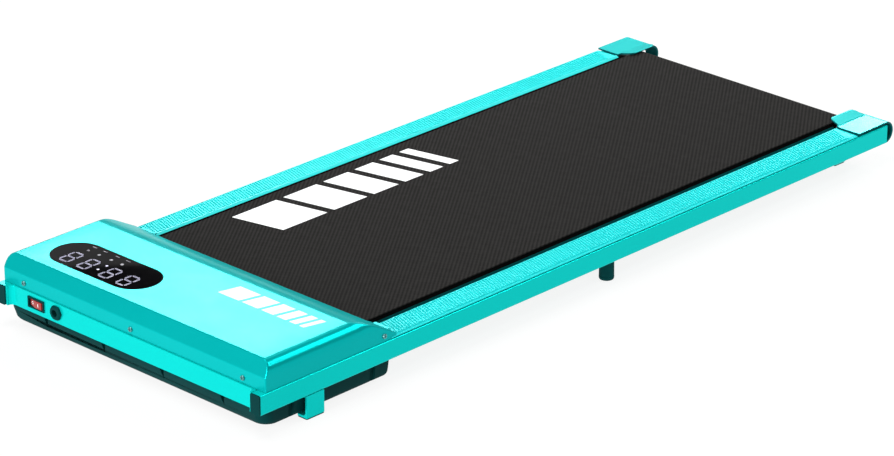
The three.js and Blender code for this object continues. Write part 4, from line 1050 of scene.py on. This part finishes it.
DIGITS_AT = (-171.0, -137.4, -94.8, -61.0)
DIGIT_HALF = 9.2
DIGIT_FROM, DIGIT_TO = 48.0, 80.0
SEGMENT = 2.3
STROKE = 0.5
COLON = {"x": -115.6, "at": (61.4, 76.7), "radius": 1.9}
ICONS_AT = (-170.6, -149.5, -125.7, -104.9)
ICON = {"at": 93.5, "radius": 2.6}
DASH = {"half": 4, "shift": 1.5, "from": 105.4, "to": 106.6}


def hexagon_bar(u, v, length, width, upright):
    """A segment with pointed ends."""
    a, b = length / 2, width / 2
    points = [(-a, 0), (b - a, -b), (a - b, -b), (a, 0), (a - b, b), (b - a, b)]
    return [(u - q, v + p) if upright else (u + p, v + q) for p, q in points]


def add_outlined(bm, u, v, length, width, upright, low, high):
    """The rim of a segment: the light shows only along its edge."""
    outer = hexagon_bar(u, v, length, width, upright)
    inner = hexagon_bar(u, v, length - 2.2 * STROKE, width - 2 * STROKE, upright)
    add_frame(bm, outer, inner, "z", low, high)


def make_display():
    low, high = span("display_window")
    place = (low + high) / 2
    length, width = high.x - low.x - WINDOW_FLANGE, high.y - low.y - WINDOW_FLANGE
    skirt = WINDOW_FLANGE / 2
    top = high.z
    bm = bmesh.new()
    rings = []
    for z, grow in ((top, -1.0), (top - 0.12, -0.35), (top - 0.45, 0), (top - 2.3, 0), (top - 2.3, skirt),
                    (top - 3.6, skirt)):
        outline = stadium(place.x, place.y, length + 2 * grow, width + 2 * grow, 28)
        rings.append([(u, v, z) for u, v in outline])
    add_loft(bm, rings)
    finished(as_object("window_glass", bm), [GLASS], "frame", ["display_window"])

    surface = (top - 0.2, top + 0.05)
    bm = bmesh.new()
    middle = (DIGIT_FROM + DIGIT_TO) / 2
    tall = (DIGIT_TO - DIGIT_FROM) / 2
    for x in DIGITS_AT:
        for at in (DIGIT_FROM + SEGMENT / 2, middle, DIGIT_TO - SEGMENT / 2):
            add_outlined(bm, x, along(at), 2 * DIGIT_HALF - 2 * SEGMENT, SEGMENT, False, *surface)
        for across in (-1, 1):
            for at in (middle - tall / 2 + 0.4, middle + tall / 2 - 0.4):
                add_outlined(bm, x + across * (DIGIT_HALF - SEGMENT / 2), along(at),
                             tall - SEGMENT * 1.7, SEGMENT, True, *surface)
    for at in COLON["at"]:
        add_prism(bm, arc(COLON["x"], along(at), COLON["radius"], 0, 345, 23), "z", *surface)
    finished(as_object("lit_digits", bm), [LIT], "frame")

    bm = bmesh.new()
    for i, x in enumerate(ICONS_AT):
        corners = 3 + 2 * i
        ring = [(x + ICON["radius"] * math.cos(a), along(ICON["at"]) + ICON["radius"] * math.sin(a))
                for a in [math.tau * k / corners for k in range(corners)]]
        add_prism(bm, ring, "z", *surface)
        dash = rounded_box(x - DASH["half"] - DASH["shift"], along(DASH["from"]),
                           x + DASH["half"] - DASH["shift"], along(DASH["to"]), 0.5, 2)
        add_prism(bm, dash, "z", *surface)
    finished(as_object("dim_icons", bm), [DIM], "frame")


make_display()


# ---- rocker marks


ROCKER_TILT = math.radians(8)
ROCKER_CROWN = 6.0  # from the pivot to the ridge between the two halves of the face
MARK_AT = 6.2  # from the ridge to each mark
MARK_DEPTH = (-0.06, 0.3)


def make_rocker_marks():
    """A ring and a bar printed on the two halves of the rocker's face."""
    joint = next(j for j in frame["joints"] if j["child"] == "switch_rocker")
    pivot = Matrix.Translation(Vector(joint["pos_m"]))
    turn = Matrix.Rotation(-ROCKER_TILT, 4, "Z")
    bm = bmesh.new()
    for side in (-1, 1):
        bm_mark = bmesh.new()
        if side < 0:
            add_frame(bm_mark, arc(0, 0, 2.3, 0, 352, 31), arc(0, 0, 1.5, 0, 352, 31), "y", *MARK_DEPTH)
        else:
            add_prism(bm_mark, rounded_box(-0.5, -2.3, 0.5, 2.3, 0.3, 3), "y", *MARK_DEPTH)
        lean = Matrix.Rotation(side * ROCKER_TILT, 4, "Z")
        place = Vector((side * MARK_AT, -ROCKER_CROWN + MARK_AT * math.tan(ROCKER_TILT), 0)) * MM
        bm_mark.transform(pivot @ turn @ Matrix.Translation(place) @ lean)
        mesh = bpy.data.meshes.new("mark")
        bm_mark.to_mesh(mesh)
        bm_mark.free()
        bm.from_mesh(mesh)
    finished(as_object("rocker_marks", bm), [PRINT], "switch_rocker")


make_rocker_marks()


# ---- belly pan

PAN_WALL = 2.5
PAN_CORNER = (18.0, 6.0)  # radius at the front and at the rear
PAN_NOTCH = {"spacing": 111.6, "offset": 2, "half": 4.5, "depth": 15}
PAN_GROOVES_AT = (61, 205)
PAN_BELT_ROOM = {"half": 201, "start": 214, "bottom": 21, "top": 50}  # the rear wall is open here
PAN_LOUVRES = {"count": 9, "start": 70, "pitch": 9, "length": 90, "width": 3.2, "x": 130, "depth": 1.2}
# How far each level is set in at the sides, the front and the rear, and its height.
PAN_LEVELS = ((0, 0, 0, 32.7), (0, 0, 0, 30), (0.3, 1.0, 0.3, 25), (1.0, 3.4, 0.8, 17.5),
              (1.5, 4.6, 1.3, 13.0), (2.4, 6.4, 2.2, 10.4), (3.8, 8.4, 3.6, 8.4), (5.6, 10.6, 5.4, 7.5))


def pan_ring(inset, level):
    low, high = span("belly_pan")
    side_in, front_in, rear_in, z = level
    half = high.x - side_in - inset
    front, back = low.y + front_in + inset, high.y - rear_in - inset
    wide, tight = PAN_CORNER
    plan = (arc(half - wide, front + wide, wide, -90, 0, 8)
            + arc(half - tight, back - tight, tight, 0, 90, 8)
            + arc(tight - half, back - tight, tight, 90, 180, 8)
            + arc(wide - half, front + wide, wide, 180, 270, 8))
    return [(x, y, z) for x, y in plan]


def make_pan():
    low, high = span("belly_pan")
    rim = high.z
    bm = bmesh.new()
    add_loft(bm, [pan_ring(0, level) for level in PAN_LEVELS])
    pan = as_object("pan_shell", bm)
    bm = bmesh.new()
    floor = low.z + PAN_WALL
    levels = [(0, 0, 0, rim + 3)] + [(*level[:3], level[3] + PAN_WALL) for level in PAN_LEVELS[1:]]
    add_loft(bm, [pan_ring(PAN_WALL, level) for level in levels])
    combined(pan, "DIFFERENCE", as_object("tool", bm))
    notches = [(step + 0.5) * PAN_NOTCH["spacing"] + PAN_NOTCH["offset"] for step in (-2, -1, 0, 1)]
    half, depth = PAN_NOTCH["half"], PAN_NOTCH["depth"]
    bosses = [box_object(x - 8, x + 8, low.y + 4.4, low.y + 12, rim - depth - 2.5, rim) for x in notches]
    for _, side in SIDES:
        bosses += [box_object(side * (high.x - 11), side * (high.x - 4), along(at) - 9, along(at) + 9,
                              floor - 0.4, rim) for at in PAN_GROOVES_AT]
    combined(pan, "UNION", *bosses)
    tools = [prism_object([(x - half, rim + 1), (x, rim - depth), (x + half, rim + 1)], "y",
                          low.y - 1, low.y + 7) for x in notches]
    for _, side in SIDES:
        for at in PAN_GROOVES_AT:
            bm = bmesh.new()
            add_turned(bm, [(low.z - 1, 0), (low.z - 1, 5), (rim + 1, 5), (rim + 1, 0)], "z",
                       (side * high.x, along(at), 0), 24)
            tools.append(as_object("tool", bm))
    room, louvre = PAN_BELT_ROOM, PAN_LOUVRES
    tools.append(box_object(-room["half"], room["half"], along(room["start"]), high.y + 10,
                            room["bottom"], room["top"]))
    for row in range(louvre["count"]):
        at = along(louvre["start"] + row * louvre["pitch"])
        slot = [(x + louvre["x"], y) for x, y in stadium(0, at, louvre["length"], louvre["width"], 8)]
        tools.append(prism_object(slot, "z", low.z - 1, low.z + louvre["depth"]))
    combined(pan, "DIFFERENCE", *tools)
    finished(pan, [PLASTIC], "frame", ["belly_pan"], bevel=0.4, angle=38)


make_pan()


# ---- middle feet


def make_foot(word):
    node = word + "_middle_foot"
    low, high = span(node)
    place = (low + high) / 2
    r = (high.x - low.x) / 2
    profile = [(0, 0), (0, r - 6), (0.5, r - 5.4), (0.5, r - 4.4), (0, r - 3.8), (0, r - 2.2), (0.5, r - 1.0),
               (1.6, r - 0.3), (3.2, r), (5.0, r), (5.5, r - 0.5), (6.3, r - 0.5), (6.8, r - 0.1)]
    profile += [(high.z - 3, r - 0.35), (high.z - 2.4, r), (high.z - 0.5, r), (high.z, r - 0.5), (high.z, 0)]
    bm = bmesh.new()
    add_turned(bm, profile, "z", (place.x, place.y, 0), 56)
    finished(as_object(word + "_foot_post", bm), [RUBBER], "frame", [node])


for word, _ in SIDES:
    make_foot(word)


# ---- camera, floor and lights

CAMERA_PLACE = (3.525, -3.706, 2.2187)
CAMERA_AZIMUTH = math.radians(43.85)
CAMERA_ELEVATION = math.radians(23.29)
CAMERA_LENS = 162.4
CEILING = 1.37
ROOM_GLOW = 0.12
FLOOR_GLOW = 0.88
FLOOR_REACH = 14000


def add_camera():
    camera = bpy.data.objects.new("camera", bpy.data.cameras.new("camera"))
    camera.data.lens = CAMERA_LENS
    camera.location = CAMERA_PLACE
    camera.rotation_euler = (math.pi / 2 - CAMERA_ELEVATION, 0, CAMERA_AZIMUTH)
    bpy.context.scene.collection.objects.link(camera)
    bpy.context.scene.camera = camera


def area_light(name, place, target, size, brightness):
    """A soft box: brightness is what a white card would show if it filled the view of that card."""
    data = bpy.data.lights.new(name, "AREA")
    data.shape = "RECTANGLE"
    data.size, data.size_y = size
    data.energy = brightness * math.pi * size[0] * size[1]
    lamp = bpy.data.objects.new(name, data)
    lamp.location = place
    lamp.rotation_euler = (Vector(target) - Vector(place)).to_track_quat("-Z", "Y").to_euler()
    bpy.context.scene.collection.objects.link(lamp)
    return lamp


def soft_ceiling(name, x0, x1, y0, y1, brightness):
    """A level soft box above the floor that shines straight down; the glossy tops mirror it."""
    place = ((x0 + x1) / 2, (y0 + y1) / 2, CEILING)
    return area_light(name, place, (place[0], place[1], 0), (x1 - x0, y1 - y0), brightness)


def add_studio():
    scene = bpy.context.scene
    scene.view_settings.view_transform = "Standard"
    world = bpy.data.worlds.new("studio")
    world.use_nodes = True
    backdrop = world.node_tree.nodes["Background"]
    backdrop.inputs["Color"].default_value = (1, 1, 1, 1)
    backdrop.inputs["Strength"].default_value = ROOM_GLOW
    scene.world = world
    area_light("overhead", (-0.1, -0.9, 2.9), (0, -0.3, 0), (1.6, 2.0), 6.6)
    area_light("front_fill", (0.3, -3.2, 0.8), (0, -0.5, 0.06), (1.8, 1.2), 12.5)
    area_light("shoulder_light", (2.1, 1.6, 1.57), (0.2, -0.5, 0.09), (0.8, 0.5), 8)
    area_light("rail_light", (1.5, 2.1, 2.1), (0.25, 2.1, 0), (1.8, 0.7), 11)
    soft_ceiling("belt_sheen", -2.70, -1.40, 1.60, 2.75, 1.0)
    soft_ceiling("hood_sheen_near", -2.12, -1.30, 0.95, 1.58, 17)
    soft_ceiling("hood_sheen_far", -2.80, -2.49, 0.95, 1.58, 17)
    soft_ceiling("hood_sheen_front", -2.49, -2.12, 0.95, 1.25, 17)
    soft_ceiling("hood_sheen_rear", -2.49, -2.12, 1.42, 1.58, 17)
    soft_ceiling("cap_sheen", -2.05, -1.35, 3.00, 3.70, 34)
    soft_ceiling("slope_sheen", -0.75, -0.10, 0.30, 2.10, 1.1)
    glass_card = area_light("glass_card", (-2.388, 1.428, 1.372), (-2.388, 1.428, 0), (0.5, 0.25), 2.4)
    glass_card.rotation_euler[2] += math.radians(45.9)


def add_floor():
    bm = bmesh.new()
    reach = FLOOR_REACH
    add_faces(bm, [(-reach, -reach, 0), (reach, -reach, 0), (reach, reach, 0), (-reach, reach, 0)],
              [(0, 1, 2, 3)])
    floor = as_object("floor", bm)
    look = Look("pale_floor", 0.9, specular=0.1)
    look.colour(look.mixed(look.noise(300, 3), (0.09, 0.09, 0.09), (0.11, 0.11, 0.11)))
    look.shader.inputs["Emission Color"].default_value = (1, 1, 1, 1)
    look.shader.inputs["Emission Strength"].default_value = FLOOR_GLOW
    floor.data.materials.append(look.material)


add_camera()
add_studio()
add_floor()
